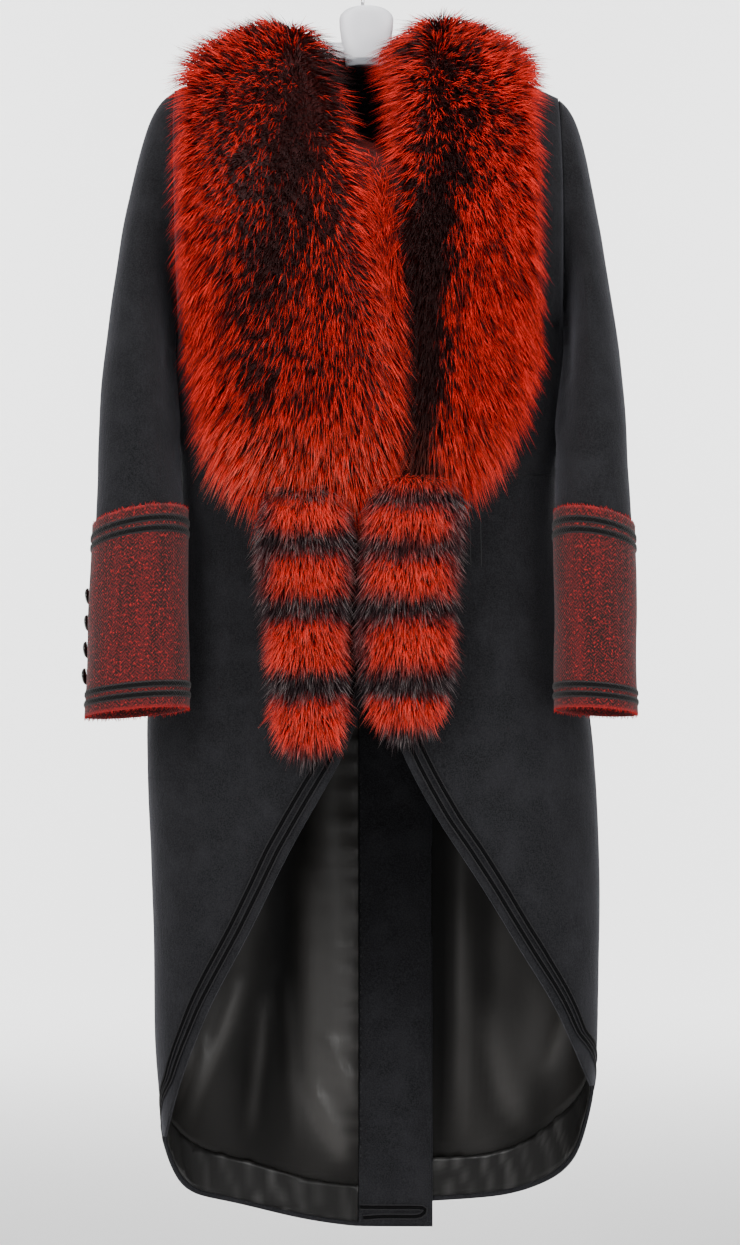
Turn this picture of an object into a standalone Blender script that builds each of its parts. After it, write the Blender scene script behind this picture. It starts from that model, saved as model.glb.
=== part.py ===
"""A cashmere coat with a fur shawl collar, fur tails and tweed cuffs, hanging on its hanger.

Metres, +Z up, the front faces -Y. The origin is where the hook rests on a rail.
Tables and sizes are in millimetres. "drop" is the distance down from the origin,
"left" and "right" are those of someone who looks at the front.
"""

import math

import bpy
import numpy as np

MM = 0.001

# Thicknesses of what the coat is made of, and the gap left at a seam and between layers.
CLOTH = 2.2
FACING = 1.6
SATIN = 1.0
SLEEVE_WALL = 2.6
VELVET_WIDTH = 3.6
VELVET_HEIGHT = 1.2
SEAM = 0.4
LAYER = 0.5

# The body: shoulder and underarm drops, the armhole and how square the sections are.
SHOULDER = {"left": 141, "right": 148}
SHOULDER_GAP = 0.0035
UNDERARM = 366
ARMHOLE_DEPTH = 62
ARMHOLE_Y = 6
ROW = 100
SIDE_ANGLE = math.pi / 2 - 0.0012
SQUARE = 2.4
NECK_WIDTH = 72
NECK_ROW = 0.17

# The vent of the back, and the left back's underlap behind it.
VENT_TOP = 690
VENT_SLOPE = 45
VENT_WIDTH = 62
VENT_INSET = 5.0
UNDERLAP_STEPS = (-20, -11, -3)

# How finely the panels are divided.
ARMHOLE_ROWS = 10
SKIRT_ROWS = 17
FRONT_COLUMNS = 11
BACK_COLUMNS = 11
BACK_ROWS = 9
BACK_DROPS = (405, 450, 495, 540, 585, 630, 660, VENT_TOP, 712, VENT_TOP + VENT_SLOPE)
FIXED_ROWS = ARMHOLE_ROWS + len(BACK_DROPS)

# The lining and facings lie between these rows and columns of the back panels.
LINING_TOP = ARMHOLE_ROWS + 4
SIDE_MARGIN = 0.4
HEM_SHOWS = 5
STRIP_COLUMN = 9
STRIP_GAP = 0.05


def row_at(drop):
    """Row number of a drop below the underarm. Rows 0 to 1 run round the armhole."""
    return 1 + (drop - UNDERARM) / ROW


class Table:
    """A short table with named columns. A value between two rows lies on a smooth curve."""

    def __init__(self, names, rows):
        data = np.array(rows, float)
        self.key = data[:, 0]
        self.columns = {name: data[:, i] for i, name in enumerate(names.split())}

    def at(self, name, key):
        x = self.key
        y = self.columns[name]
        key = min(max(key, x[0]), x[-1])
        i = int(min(max(np.searchsorted(x, key, side="right") - 1, 0), len(x) - 2))
        run = x[i + 1] - x[i]
        slope = (y[i + 1] - y[i]) / run
        before = (y[i] - y[i - 1]) / (x[i] - x[i - 1]) if i else slope
        after = (y[i + 2] - y[i + 1]) / (x[i + 2] - x[i + 1]) if i + 2 < len(x) else slope
        first = (before + slope) / 2 if before * slope > 0 else 0
        last = (after + slope) / 2 if after * slope > 0 else 0
        s = (key - x[i]) / run
        return (
            y[i] * (2 * s**3 - 3 * s**2 + 1)
            + y[i + 1] * (3 * s**2 - 2 * s**3)
            + run * (first * (s**3 - 2 * s**2 + s) + last * (s**3 - s**2))
        )


# The body's sections: the drop and the y of the front and the back at the centre line.
CENTRE = Table(
    "row front_drop front_y back_drop back_y",
    [
        (0, 65, 6, 65, 6),
        (0.1, 82, -22, 78, 26),
        (0.25, 128, -60, 118, 54),
        (0.5, 225, -90, 215, 86),
        (0.75, 318, -98, 315, 93),
        (1, 366, -98, 366, 94),
        (row_at(514), 514, -92, 514, 84),
        (row_at(600), 600, -97, 600, 92),
        (row_at(744), 744, -106, 744, 104),
        (row_at(900), 900, -110, 900, 108),
        (row_at(1260), 1260, -106, 1260, 104),
    ],
)

# The half width at each side: armhole, waist, hip and the narrower hem.
SIDES = Table(
    "row left right",
    [
        (0, 188, 181),
        (1, 184, 185),
        (row_at(385), 186.3, 186.2),
        (row_at(410), 187, 185.5),
        (row_at(440), 186, 183),
        (row_at(514), 183, 178.5),
        (row_at(560), 184, 179.5),
        (row_at(640), 194, 190),
        (row_at(744), 215, 212),
        (row_at(814), 213.5, 218),
        (row_at(936), 208, 221),
        (row_at(1060), 206.5, 218),
        (row_at(1107), 202, 215.5),
        (row_at(1167), 199, 211),
        (row_at(1260), 195, 206),
    ],
)

# The fronts' free edges: neckline, centre front, then the long cutaway to the side seam.
FRONT_EDGE = Table(
    "row left right",
    [
        (0, -72, 70),
        (0.25, -60, 60),
        (0.5, -44, 50),
        (0.75, -24, 34),
        (1, -10, 20),
        (row_at(450), 2, 4),
        (row_at(500), 3, 3),
        (row_at(680), 3, 3),
        (row_at(725), -5, 10),
        (row_at(770), -20.5, 28),
        (row_at(806), -41, 45),
        (row_at(842), -62, 66),
        (row_at(862), -74, 79),
        (row_at(896), -90, 104),
        (row_at(950), -117, 135),
        (row_at(1004), -147, 170.5),
        (row_at(1046), -165.5, 190),
        (row_at(1072), -175.5, 202),
        (row_at(1100), -185, 212),
        (row_at(1127), -193, 212),
        (row_at(1146), -197, 212),
    ],
)
FRONT_END = {"left": 1143, "right": 1094}

# The back's hem and the seam of the satin facing above it, by distance from the centre back.
HEM = {
    "left": Table(
        "out hem facing",
        [
            (-VENT_WIDTH, 1240, 1204),
            (0, 1244, 1204),
            (32, 1241, 1202),
            (63, 1236, 1195),
            (95, 1228, 1184),
            (126, 1220, 1175),
            (148, 1215, 1170),
            (165, 1211, 1165),
            (184, 1200, 1150),
            (192, 1186, 1140),
            (197, 1168, 1132),
            (200, 1148, 1118),
        ],
    ),
    "right": Table(
        "out hem facing",
        [
            (0, 1222, 1178),
            (60, 1220, 1177),
            (80, 1218, 1176),
            (118, 1215, 1172),
            (146, 1210, 1164),
            (171, 1200, 1148),
            (195, 1183, 1124),
            (208, 1160, 1106),
            (212, 1136, 1094),
            (215, 1100, 1078),
        ],
    ),
}

SLEEVE_NAMES = "row out_x out_drop in_x in_drop y depth pitch"
SLEEVES = {
    "left": Table(
        SLEEVE_NAMES,
        [
            (0, 188.6, 141, 184.6, 366, 6, 62, 0),
            (1, 200, 148, 187.5, 369, 6, 63, 0),
            (2, 211, 166, 188.3, 374, 4, 65, 0),
            (3, 219, 192, 189.3, 382, 0, 67, 1),
            (4, 227, 226, 189.5, 393, -6, 68, 2),
            (5, 235, 264, 189, 408, -14, 68, 3),
            (6, 241, 304, 187.5, 426, -22, 67, 4),
            (7, 247, 344, 185.5, 447, -29, 65, 5),
            (8, 252, 384, 183, 470, -36, 63, 6),
            (9, 256, 425, 180.5, 495, -43, 60, 8),
            (10, 258, 470, 178, 517, -51, 57, 10),
            (11, 258.5, 520, 176, 541, -63, 53, 11),
        ],
    ),
    "right": Table(
        SLEEVE_NAMES,
        [
            (0, 181.6, 148, 185.6, 366, 6, 62, 0),
            (1, 191, 156, 188, 369, 6, 63, 0),
            (2, 200, 174, 188.6, 374, 4, 65, 0),
            (3, 207, 202, 189, 382, 0, 67, 1),
            (4, 213.5, 236, 188.5, 394, -6, 68, 2),
            (5, 219, 268, 187.3, 409, -14, 68, 3),
            (6, 225, 306, 185, 428, -22, 67, 4),
            (7, 231, 344, 182, 449, -29, 65, 5),
            (8, 236.5, 384, 179, 472, -36, 63, 6),
            (9, 241, 425, 176.5, 497, -43, 60, 8),
            (10, 244, 470, 175, 519, -51, 57, 10),
            (11, 246, 520, 174.5, 543, -63, 53, 11),
        ],
    ),
}

# The cuffs, by the distance from the frayed top edge.
CUFFS = {
    "left": Table(
        SLEEVE_NAMES,
        [
            (0, 262.5, 562, 171.5, 546, -71, 53, 11),
            (44, 263.5, 606, 171, 594, -84, 50, 9),
            (104, 265, 666, 170, 656, -95, 48, 7),
            (179, 268, 741, 169, 732, -104, 46, 5),
        ],
    ),
    "right": Table(
        SLEEVE_NAMES,
        [
            (0, 250.5, 562, 173, 548, -71, 53, 11),
            (44, 251, 606, 172.5, 596, -84, 50, 9),
            (104, 250, 668, 173, 658, -95, 48, 7),
            (179, 251.5, 738, 172.5, 733, -104, 46, 5),
        ],
    ),
}
CUFF_LENGTH = 179
CUFF_VELVET = (11.5, 20.5, 158, 167)
SLEEVE_TUCK = 14

# Tubes: sides of sleeves and cuffs, fur, tails, buttons, hanger and hook.
AROUND = 20
FUR_AROUND = 8
FUR_STATIONS = 24
FUR_GAP = 5.0
TAIL_AROUND = 12
TAIL_RINGS = 14
TAIL_GAP = 4.0

# The velvet ribbon's two rows, by distance inside the edge, with closer steps at the sides.
RIBBON_FIRST = 9.5
RIBBON_SECOND = 19
RIBBON_LIFT = 0.9
RIBBON_FRONT_DROPS = (
    650, 700, 735, 762, 785, 808, 835, 865, 900, 940, 975, 1010, 1040, 1065, 1085, 1100
)
TIGHT_FROM = 165
TIGHT_STEP = 16


# The fur collar, station by station from the centre back to its lower end.
# "in" and "out" are its edges across the front, "in_row" and "out_row" their rows:
# above 0 on the front, below 0 over the shoulder on the back.
FUR_NAMES = "station in_x in_row out_x out_row pile"
FURS = {
    "left": Table(
        FUR_NAMES,
        [
            (0, 0.3, -0.16, 0.3, -0.46, 26),
            (1, 40, -0.14, 62, -0.45, 27),
            (2, 62, -0.07, 122, -0.36, 28),
            (3, 64, 0.02, 160, -0.2, 28),
            (4, 56, 0.09, 174, 0.0, 28),
            (5, 44, 0.16, 177, 0.16, 29),
            (6, 31, 0.24, 178, 0.27, 31),
            (7, 16, 0.33, 179, 0.38, 33),
            (8, -4, 0.44, 178, 0.5, 34),
            (9, -22, 0.58, 176, 0.62, 34),
            (10, -31, 0.75, 173, 0.75, 34),
            (11, -33, 1, 170, 1, 34),
            (12, -33, row_at(410), 163, row_at(410), 34),
            (13, -31, row_at(450), 157, row_at(450), 34),
            (14, -25, row_at(490), 147, row_at(490), 33),
            (15, -14, row_at(520), 132, row_at(518), 30),
            (16, 4, row_at(541), 105, row_at(541), 14),
        ],
    ),
    "right": Table(
        FUR_NAMES,
        [
            (0, 0.3, -0.16, 0.3, -0.46, 26),
            (1, 40, -0.14, 62, -0.45, 27),
            (2, 58, -0.07, 118, -0.36, 28),
            (3, 52, 0.02, 142, -0.2, 28),
            (4, 34, 0.09, 150, 0.0, 28),
            (5, 20, 0.16, 153, 0.16, 29),
            (6, 9, 0.24, 156, 0.27, 29),
            (7, 1, 0.33, 158, 0.38, 30),
            (8, 6, 0.44, 159, 0.5, 30),
            (9, 24, 0.58, 159, 0.62, 30),
            (10, 33, 0.75, 158, 0.75, 30),
            (11, 35, 1, 157, 1, 30),
            (12, 35, row_at(410), 152, row_at(410), 30),
            (13, 33, row_at(450), 139, row_at(450), 30),
            (14, 28, row_at(490), 121, row_at(490), 28),
            (15, 36, row_at(513), 104, row_at(513), 24),
            (16, 48, row_at(530), 86, row_at(530), 12),
        ],
    ),
}

# The fur tails: middle, half width and half thickness down their length.
TAIL_NAMES = "drop x width depth"
TAILS = {
    "left": Table(
        TAIL_NAMES,
        [
            (541.1, -62, 34, 15),
            (562, -62, 46, 24),
            (614, -61, 45, 25),
            (672, -59, 38, 24),
            (720, -57.5, 37, 23),
            (756, -57, 34, 21),
            (778, -56.5, 26, 16),
            (789, -56.5, 12, 7),
        ],
    ),
    "right": Table(
        TAIL_NAMES,
        [
            (530.1, 44, 32, 14),
            (550, 42, 48, 23),
            (608, 37, 47, 25),
            (674, 33, 47, 25),
            (716, 34, 43, 24),
            (740, 34.5, 36, 21),
            (760, 34.5, 26, 16),
            (771, 34.5, 12, 7),
        ],
    ),
}

BUTTON_RADIUS = 8
BUTTON_THICK = 4.5
BUTTON_STEP = 25.3
BUTTON_FIRST = 63
BUTTON_COUNT = 4
BUTTON_TURN = {"left": math.radians(14), "right": math.radians(50)}
BUTTON_SIDES = 10
BUTTON_PROFILE = [
    (0.8, 3.0),
    (1.6, 3.2),
    (2.2, BUTTON_RADIUS),
    (3.6, BUTTON_RADIUS),
    (BUTTON_THICK, BUTTON_RADIUS - 1.4),
]

HOOK_WIRE = 1.9
HOOK_RADIUS = 19
HOOK_STEM = -7
HOOK_STEM_DROPS = (59.1, 52, 44)
HOOK_SIDES = 6
HOOK_STEPS = 12
HOOK_FROM = -60
HOOK_TURN = 240
HEAD_X = -1
HEAD_Y = 2
HEAD_DEPTH = 8
HEAD_SIDES = 12
HANGER_HEAD = Table(
    "drop width",
    [(59.5, 10), (63, 18), (71, 24), (84, 27), (98, 25.5), (110, 21), (119, 18.5)],
)
ARM_TOP = 1.8
ARM_MIDDLE = 103
ARM_SIDES = 8
ARM_STEPS = (-166, -160, -140, -110, -80, -60, 0, 60, 80, 110, 140, 154, 160)
HANGER_ARM = Table(
    "out height depth",
    [(0, 8, 8), (40, 9, 8), (80, 10, 8), (130, 9, 9), (155, 7, 8), (166, 3.5, 5)],
)


def power(value, exponent):
    return math.copysign(abs(value) ** exponent, value)


def smooth(value):
    value = min(max(value, 0), 1)
    return value * value * (3 - 2 * value)


def side_of(side, row):
    """x, y and drop of the body's side on the front: the armhole's edge, then the side seam."""
    around = math.pi * min(abs(row), 1)
    top = SHOULDER[side]
    drop = top + (UNDERARM - top) * (1 - math.cos(around)) / 2
    drop += ROW * max(abs(row) - 1, 0)
    y = ARMHOLE_Y + (-1 if row >= 0 else 1) * ARMHOLE_DEPTH * math.sin(around)
    width = SIDES.at(side, max(abs(row), 1))
    width += (SIDES.at(side, 0) - width) * (1 + math.cos(around)) / 2
    return (-width if side == "left" else width), y, drop


def body(angle, row):
    """A point of the coat's outer surface. angle runs from the left side, -90 degrees, over the
    centre to the right side; a row below 0 is on the back."""
    side = "left" if angle < 0 else "right"
    face = "front" if row >= 0 else "back"
    x_side, y_side, drop_side = side_of(side, row)
    share = abs(power(math.sin(angle), 2 / SQUARE))
    depth = power(math.cos(angle), 2 / SQUARE)
    middle_y = CENTRE.at(face + "_y", abs(row))
    middle_drop = CENTRE.at(face + "_drop", abs(row))
    y = y_side + (middle_y - y_side) * depth
    drop = middle_drop + (drop_side - middle_drop) * share
    return np.array([x_side * share, y, -drop])


def angle_at(x, row):
    """The angle at which a row passes x."""
    side = "left" if x < 0 else "right"
    width = abs(side_of(side, row)[0])
    share = min(abs(x) / width, 1)
    return min(math.asin(share ** (SQUARE / 2)), SIDE_ANGLE) * (-1 if x < 0 else 1)


def outward(angle, row):
    """The surface's outward direction."""
    step = 0.004
    across = body(angle + step, row) - body(angle - step, row)
    down = body(angle, row + step) - body(angle, row - step)
    normal = np.cross(down, across)
    return normal / np.linalg.norm(normal)


def on_body(x, row, out=0.0):
    """A point over the body at x and a row, moved out from its surface."""
    angle = angle_at(x, row)
    return body(angle, row) + outward(angle, row) * out


def volume_of(points, faces):
    """Six times the volume inside faces, below zero where they point inwards."""
    total = 0.0
    for face in faces:
        a = points[face[0]]
        for b, c in zip(face[1:], face[2:]):
            total += np.dot(a, np.cross(points[b], points[c]))
    return total


def add_object(name, points, faces, material):
    if volume_of(points, faces) < 0:
        faces = [tuple(reversed(face)) for face in faces]
    mesh = bpy.data.meshes.new(name)
    mesh.from_pydata([tuple(p * MM) for p in points], [], faces)
    mesh.shade_smooth()
    mesh.set_sharp_from_angle(angle=math.radians(40))
    mesh.materials.append(material)
    obj = bpy.data.objects.new(name, mesh)
    bpy.context.scene.collection.objects.link(obj)
    return obj


def wall(name, outer, inner, material, closed=False):
    """A closed wall between two grids of points. outer's rows run so that its faces look out."""
    outer = np.asarray(outer)
    inner = np.asarray(inner)
    rows, columns = outer.shape[:2]
    points = np.concatenate([outer.reshape(-1, 3), inner.reshape(-1, 3)])
    half = rows * columns
    span = columns if closed else columns - 1
    faces = []

    def grid(i, j):
        return i * columns + j % columns

    for i in range(rows - 1):
        for j in range(span):
            a, b = grid(i, j), grid(i, j + 1)
            c, d = grid(i + 1, j + 1), grid(i + 1, j)
            faces.append((a, d, c, b))
            faces.append((half + a, half + b, half + c, half + d))
    for j in range(span):
        a, b = grid(0, j), grid(0, j + 1)
        faces.append((a, b, half + b, half + a))
        a, b = grid(rows - 1, j), grid(rows - 1, j + 1)
        faces.append((b, a, half + a, half + b))
    if not closed:
        for i in range(rows - 1):
            a, b = grid(i, 0), grid(i + 1, 0)
            faces.append((b, a, half + a, half + b))
            a, b = grid(i, columns - 1), grid(i + 1, columns - 1)
            faces.append((a, b, half + b, half + a))
    return add_object(name, points, faces, material)


def capped_tube(name, rings, material):
    """A solid through rings of points, closed at both ends by a point."""
    rings = np.asarray(rings)
    count, around = rings.shape[:2]
    points = list(rings.reshape(-1, 3))
    faces = []
    for i in range(count - 1):
        for j in range(around):
            k = (j + 1) % around
            faces.append((i * around + j, i * around + k, (i + 1) * around + k, (i + 1) * around + j))
    for ring, flip in ((0, True), (count - 1, False)):
        middle = len(points)
        points.append(rings[ring].mean(axis=0))
        for j in range(around):
            pair = (ring * around + j, ring * around + (j + 1) % around)
            faces.append((*(reversed(pair) if flip else pair), middle))
    return add_object(name, points, faces, material)


def circle(sides):
    """The angles of a ring's points."""
    return [2 * math.pi * k / sides for k in range(sides)]


def material(name, colour, roughness, metallic=0.0):
    made = bpy.data.materials.new(name)
    made.use_nodes = True
    shader = made.node_tree.nodes["Principled BSDF"]
    shader.inputs["Base Color"].default_value = (*colour, 1)
    shader.inputs["Roughness"].default_value = roughness
    shader.inputs["Metallic"].default_value = metallic
    return made


def edge_of(side, row):
    """The angle of a front's free edge at a row, with half a seam between the two fronts."""
    x = FRONT_EDGE.at(side, row)
    gap = -SEAM / 2 if side == "left" else SEAM / 2
    return angle_at(x + gap, row)


def rows_between(first, last, count):
    return [first + (last - first) * i / count for i in range(count + 1)]


def vent_sink(side, x, drop):
    """How far the left back sinks to pass under the right one at the vent."""
    if side == "right":
        return 0.0
    return VENT_INSET * smooth((drop - VENT_TOP + 60) / 40) * smooth((x + 18) / 14)


def back_edge(side, drop):
    """x of a back's inner edge: the centre seam, then the underlap of the left one."""
    if side == "right":
        return SEAM / 2
    return -SEAM / 2 + VENT_WIDTH * smooth((drop - VENT_TOP) / VENT_SLOPE)


def hem_value(side, share, column):
    table = HEM[side]
    return table.at(column, share * table.key[-1])


class Grid:
    """A panel's outer points, row by row from the side seam inwards, and their normals."""

    def __init__(self, points, normals):
        self.points = np.array(points)
        self.normals = np.array(normals)

    def at(self, i, j, out):
        """A point of the faceted surface at a row and column, in parts of one, moved out."""
        values = []
        for grid in (self.points, self.normals):
            low_i, low_j = min(int(i), len(grid) - 2), min(int(j), grid.shape[1] - 2)
            u, v = i - low_i, j - low_j
            values.append(
                grid[low_i, low_j] * (1 - u) * (1 - v)
                + grid[low_i + 1, low_j] * u * (1 - v)
                + grid[low_i, low_j + 1] * (1 - u) * v
                + grid[low_i + 1, low_j + 1] * u * v
            )
        return values[0] + values[1] * out

    def layer(self, name, rows_of, columns, out, thick, cloth):
        """A sheet that lies on the panel's facets, between the given rows and columns."""
        outer = [[self.at(i, j, out) for i in rows_of(j)] for j in columns]
        inner = [[self.at(i, j, out - thick) for i in rows_of(j)] for j in columns]
        outer = np.array(outer).transpose(1, 0, 2)
        inner = np.array(inner).transpose(1, 0, 2)
        return wall(name, outer, inner, cloth)


class FrontGrid(Grid):
    def __init__(self, side):
        self.side = side
        self.rows = rows_between(SHOULDER_GAP, 1, ARMHOLE_ROWS)
        self.rows += rows_between(1, row_at(FRONT_END[side]), SKIRT_ROWS)[1:]
        far = -SIDE_ANGLE if side == "left" else SIDE_ANGLE
        points, normals = [], []
        for row in self.rows:
            edge = edge_of(side, row)
            angles = [far + (edge - far) * j / FRONT_COLUMNS for j in range(FRONT_COLUMNS + 1)]
            points.append([body(a, row) for a in angles])
            normals.append([outward(a, row) for a in angles])
        super().__init__(points, normals)

    def inside(self, i, distance):
        """The column that lies a distance inside the free edge at a row."""
        last = FRONT_COLUMNS
        along = self.at(min(i + 0.5, len(self.rows) - 1), last, 0) - self.at(i - 0.5, last, 0)
        along /= np.linalg.norm(along)
        across = self.at(i, last - 1, 0) - self.at(i, last, 0)
        straight = across - along * np.dot(across, along)
        return last - distance / np.linalg.norm(straight)


class BackGrid(Grid):
    def __init__(self, side):
        self.side = side
        sign = -1 if side == "left" else 1
        steps = UNDERLAP_STEPS if side == "left" else ()
        evenly = BACK_COLUMNS - len(steps)
        self.hems, columns, normals = [], [], []
        for j in range(BACK_COLUMNS + 1):
            s = min(j / evenly, 1)
            share = abs(math.sin(SIDE_ANGLE * (1 - s))) ** (2 / SQUARE)
            hem = hem_value(side, share, "hem")
            seam = hem_value(side, share, "facing")
            self.hems.append((hem, seam))
            drops = [0] * ARMHOLE_ROWS + [UNDERARM, *BACK_DROPS]
            drops += rows_between(drops[-1], hem, BACK_ROWS)[1:]
            inside = max(0, 1 - (share * abs(SIDES.at(side, 0)) / NECK_WIDTH) ** 2)
            around = rows_between(SHOULDER_GAP + NECK_ROW * math.sqrt(inside), 1, ARMHOLE_ROWS)
            rows = around + [row_at(drop) for drop in drops[ARMHOLE_ROWS + 1:]]
            points, away = [], []
            for drop, row in zip(drops, rows):
                stops = [*steps, back_edge(side, drop)]
                far = sign * SIDE_ANGLE
                near = angle_at(stops[max(j - evenly, 0)], -row)
                angle = far + (near - far) * s
                point = body(angle, -row)
                normal = outward(angle, -row)
                points.append(point - normal * vent_sink(side, point[0], drop))
                away.append(normal)
            columns.append(points)
            normals.append(away)
        super().__init__(
            np.array(columns).transpose(1, 0, 2), np.array(normals).transpose(1, 0, 2)
        )

    def row_of(self, j, drop):
        """The row number that a column reaches at a drop near its hem."""
        top = BACK_DROPS[-1]
        return FIXED_ROWS + BACK_ROWS * (drop - top) / (self.seam(j, 0) - top)

    def seam(self, j, part):
        """The drop of the hem, part 0, or of the facing's seam, part 1, at a column."""
        low = min(int(j), BACK_COLUMNS - 1)
        return self.hems[low][part] + (self.hems[low + 1][part] - self.hems[low][part]) * (j - low)

    def above_hem(self, j, distance):
        """The row that lies a distance inside the hem at a column."""
        last = len(self.points) - 1
        along = self.at(last, min(j + 0.5, BACK_COLUMNS), 0) - self.at(last, max(j - 0.5, 0), 0)
        along /= np.linalg.norm(along)
        up = self.at(last - 1, j, 0) - self.at(last, j, 0)
        straight = up - along * np.dot(up, along)
        return last - distance / np.linalg.norm(straight)


def front_panel(grid, cloth):
    rows = range(len(grid.points))
    grid.layer("front_" + grid.side, lambda j: rows, range(FRONT_COLUMNS + 1), 0, CLOTH, cloth)


def back_panel(grid, cloth):
    rows = range(len(grid.points))
    grid.layer("back_" + grid.side, lambda j: rows, range(BACK_COLUMNS + 1), 0, CLOTH, cloth)


def lining_columns(side):
    if side == "left":
        return [SIDE_MARGIN, *range(1, STRIP_COLUMN), STRIP_COLUMN - STRIP_GAP]
    return [SIDE_MARGIN, *range(1, BACK_COLUMNS - 1), BACK_COLUMNS - 0.55]


def lining(grid, satin):
    def rows_of(j):
        last = grid.row_of(j, grid.seam(j, 1) - SEAM)
        return [*range(LINING_TOP, FIXED_ROWS + BACK_ROWS - 1), last]

    inside = -CLOTH - LAYER
    grid.layer("lining_" + grid.side, rows_of, lining_columns(grid.side), inside, SATIN, satin)


def hem_facing(grid, satin):
    def rows_of(j):
        first = grid.row_of(j, grid.seam(j, 1))
        last = grid.row_of(j, grid.seam(j, 0) - HEM_SHOWS)
        return [first, (first + last) / 2, last]

    inside = -CLOTH - LAYER
    grid.layer("hem_facing_" + grid.side, rows_of, lining_columns(grid.side), inside, SATIN, satin)


def vent_facing(grid, cloth):
    """The strip of coat cloth on the inner side of the underlap."""
    last = FIXED_ROWS + BACK_ROWS - 0.05
    rows = [*range(FIXED_ROWS, FIXED_ROWS + BACK_ROWS), last]
    columns = [STRIP_COLUMN, STRIP_COLUMN + 1, BACK_COLUMNS - 0.02]
    grid.layer("vent_facing", lambda j: rows, columns, -CLOTH - LAYER, FACING, cloth)


def ring(table, at, side, around, grow=0.0):
    """One ring of a sleeve or cuff, seen from above it runs anticlockwise."""
    sign = -1 if side == "left" else 1
    far = np.array([sign * table.at("out_x", at), 0, -table.at("out_drop", at)])
    near = np.array([sign * table.at("in_x", at), 0, -table.at("in_drop", at)])
    middle = (far + near) / 2 + np.array([0, table.at("y", at), 0])
    long = (far - near) / 2
    long = long * (1 + grow / np.linalg.norm(long))
    wide = np.array([0, table.at("depth", at) + grow, -table.at("pitch", at)])
    turns = [sign * 2 * math.pi * k / around for k in range(around)]
    return [middle + long * math.cos(t) + wide * math.sin(t) for t in turns]


def sleeve(side, cloth):
    """The sleeve's tube, whose lower end runs on inside the cuff."""
    outer, inner = [], []
    for at in range(len(SLEEVES[side].key)):
        outer.append(ring(SLEEVES[side], at, side, AROUND))
        inner.append(ring(SLEEVES[side], at, side, AROUND, -SLEEVE_WALL))
    for at in (-1, SLEEVE_TUCK):
        grow = -CLOTH - SEAM
        outer.append(ring(CUFFS[side], at, side, AROUND, grow))
        inner.append(ring(CUFFS[side], at, side, AROUND, grow - CLOTH))
    return wall("sleeve_" + side, outer, inner, cloth, closed=True)


def cuff(side, tweed):
    """The cuff's wall, with the four rows of velvet raised on its outer side."""
    stations = [(0, 0)]
    for middle in CUFF_VELVET:
        low = middle - VELVET_WIDTH / 2
        high = middle + VELVET_WIDTH / 2
        stations += [(low, 0), (low + 0.4, VELVET_HEIGHT), (high - 0.4, VELVET_HEIGHT), (high, 0)]
        if middle == CUFF_VELVET[1]:
            stations.append((84, 0))
    stations.append((CUFF_LENGTH, 0))
    table = CUFFS[side]
    outer = [ring(table, at, side, AROUND, rise) for at, rise in stations]
    inner = [ring(table, at, side, AROUND, -CLOTH) for at, rise in stations]
    return wall("cuff_" + side, outer, inner, tweed, closed=True)


def button(name, side, at, horn):
    """A domed round button that stands on the cuff."""
    table = CUFFS[side]
    sign = -1 if side == "left" else 1
    turn = BUTTON_TURN[side]
    far = np.array([sign * table.at("out_x", at), 0, -table.at("out_drop", at)])
    near = np.array([sign * table.at("in_x", at), 0, -table.at("in_drop", at)])
    long = (far - near) / 2
    wide = np.array([0, table.at("depth", at), -table.at("pitch", at)])
    seat = (far + near) / 2 + np.array([0, table.at("y", at), 0])
    seat = seat + long * math.cos(turn) + wide * math.sin(turn)
    axis = long / np.dot(long, long) * math.cos(turn) + wide / np.dot(wide, wide) * math.sin(turn)
    axis /= np.linalg.norm(axis)
    across = np.cross(axis, np.array([0, 0, 1.0]))
    across /= np.linalg.norm(across)
    up = np.cross(across, axis)
    rings = []
    for height, radius in BUTTON_PROFILE:
        middle = seat + axis * height
        rings.append(
            [middle + (across * math.cos(c) - up * math.sin(c)) * radius for c in circle(BUTTON_SIDES)]
        )
    return capped_tube(name, rings, horn)


def ribbon(name, path, ups, lift, velvet):
    """A flat ribbon along a path, its thickness along ups, its underside at lift."""
    path = np.array(path)
    rings = []
    for i, point in enumerate(path):
        ahead = path[min(i + 1, len(path) - 1)] - path[max(i - 1, 0)]
        ahead /= np.linalg.norm(ahead)
        up = ups[i]
        across = np.cross(ahead, up)
        across /= np.linalg.norm(across)
        half = VELVET_WIDTH / 2
        low, high = up * lift, up * (lift + VELVET_HEIGHT)
        rings.append(
            [point - across * half + low, point - across * half + high,
             point + across * half + high, point + across * half + low]
        )
    return capped_tube(name, rings, velvet)


def surface_at(point):
    """The angle and row of the skirt's surface point nearest to a point."""
    side = "left" if point[0] < 0 else "right"
    row = row_at(-point[2]) * (1 if point[1] < ARMHOLE_Y else -1)
    x_side, y_side, _ = side_of(side, row)
    middle = CENTRE.at(("front" if row > 0 else "back") + "_y", abs(row))
    share = abs(point[0] / x_side) ** (SQUARE / 2)
    depth = abs((point[1] - y_side) / (middle - y_side)) ** (SQUARE / 2)
    return math.atan2(share, depth) * (-1 if side == "left" else 1), row


def row_number(grid, drop):
    """The row number of a front's grid at a drop in its skirt."""
    end = FRONT_END[grid.side]
    return ARMHOLE_ROWS + SKIRT_ROWS * (drop - UNDERARM) / (end - UNDERARM)


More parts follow.
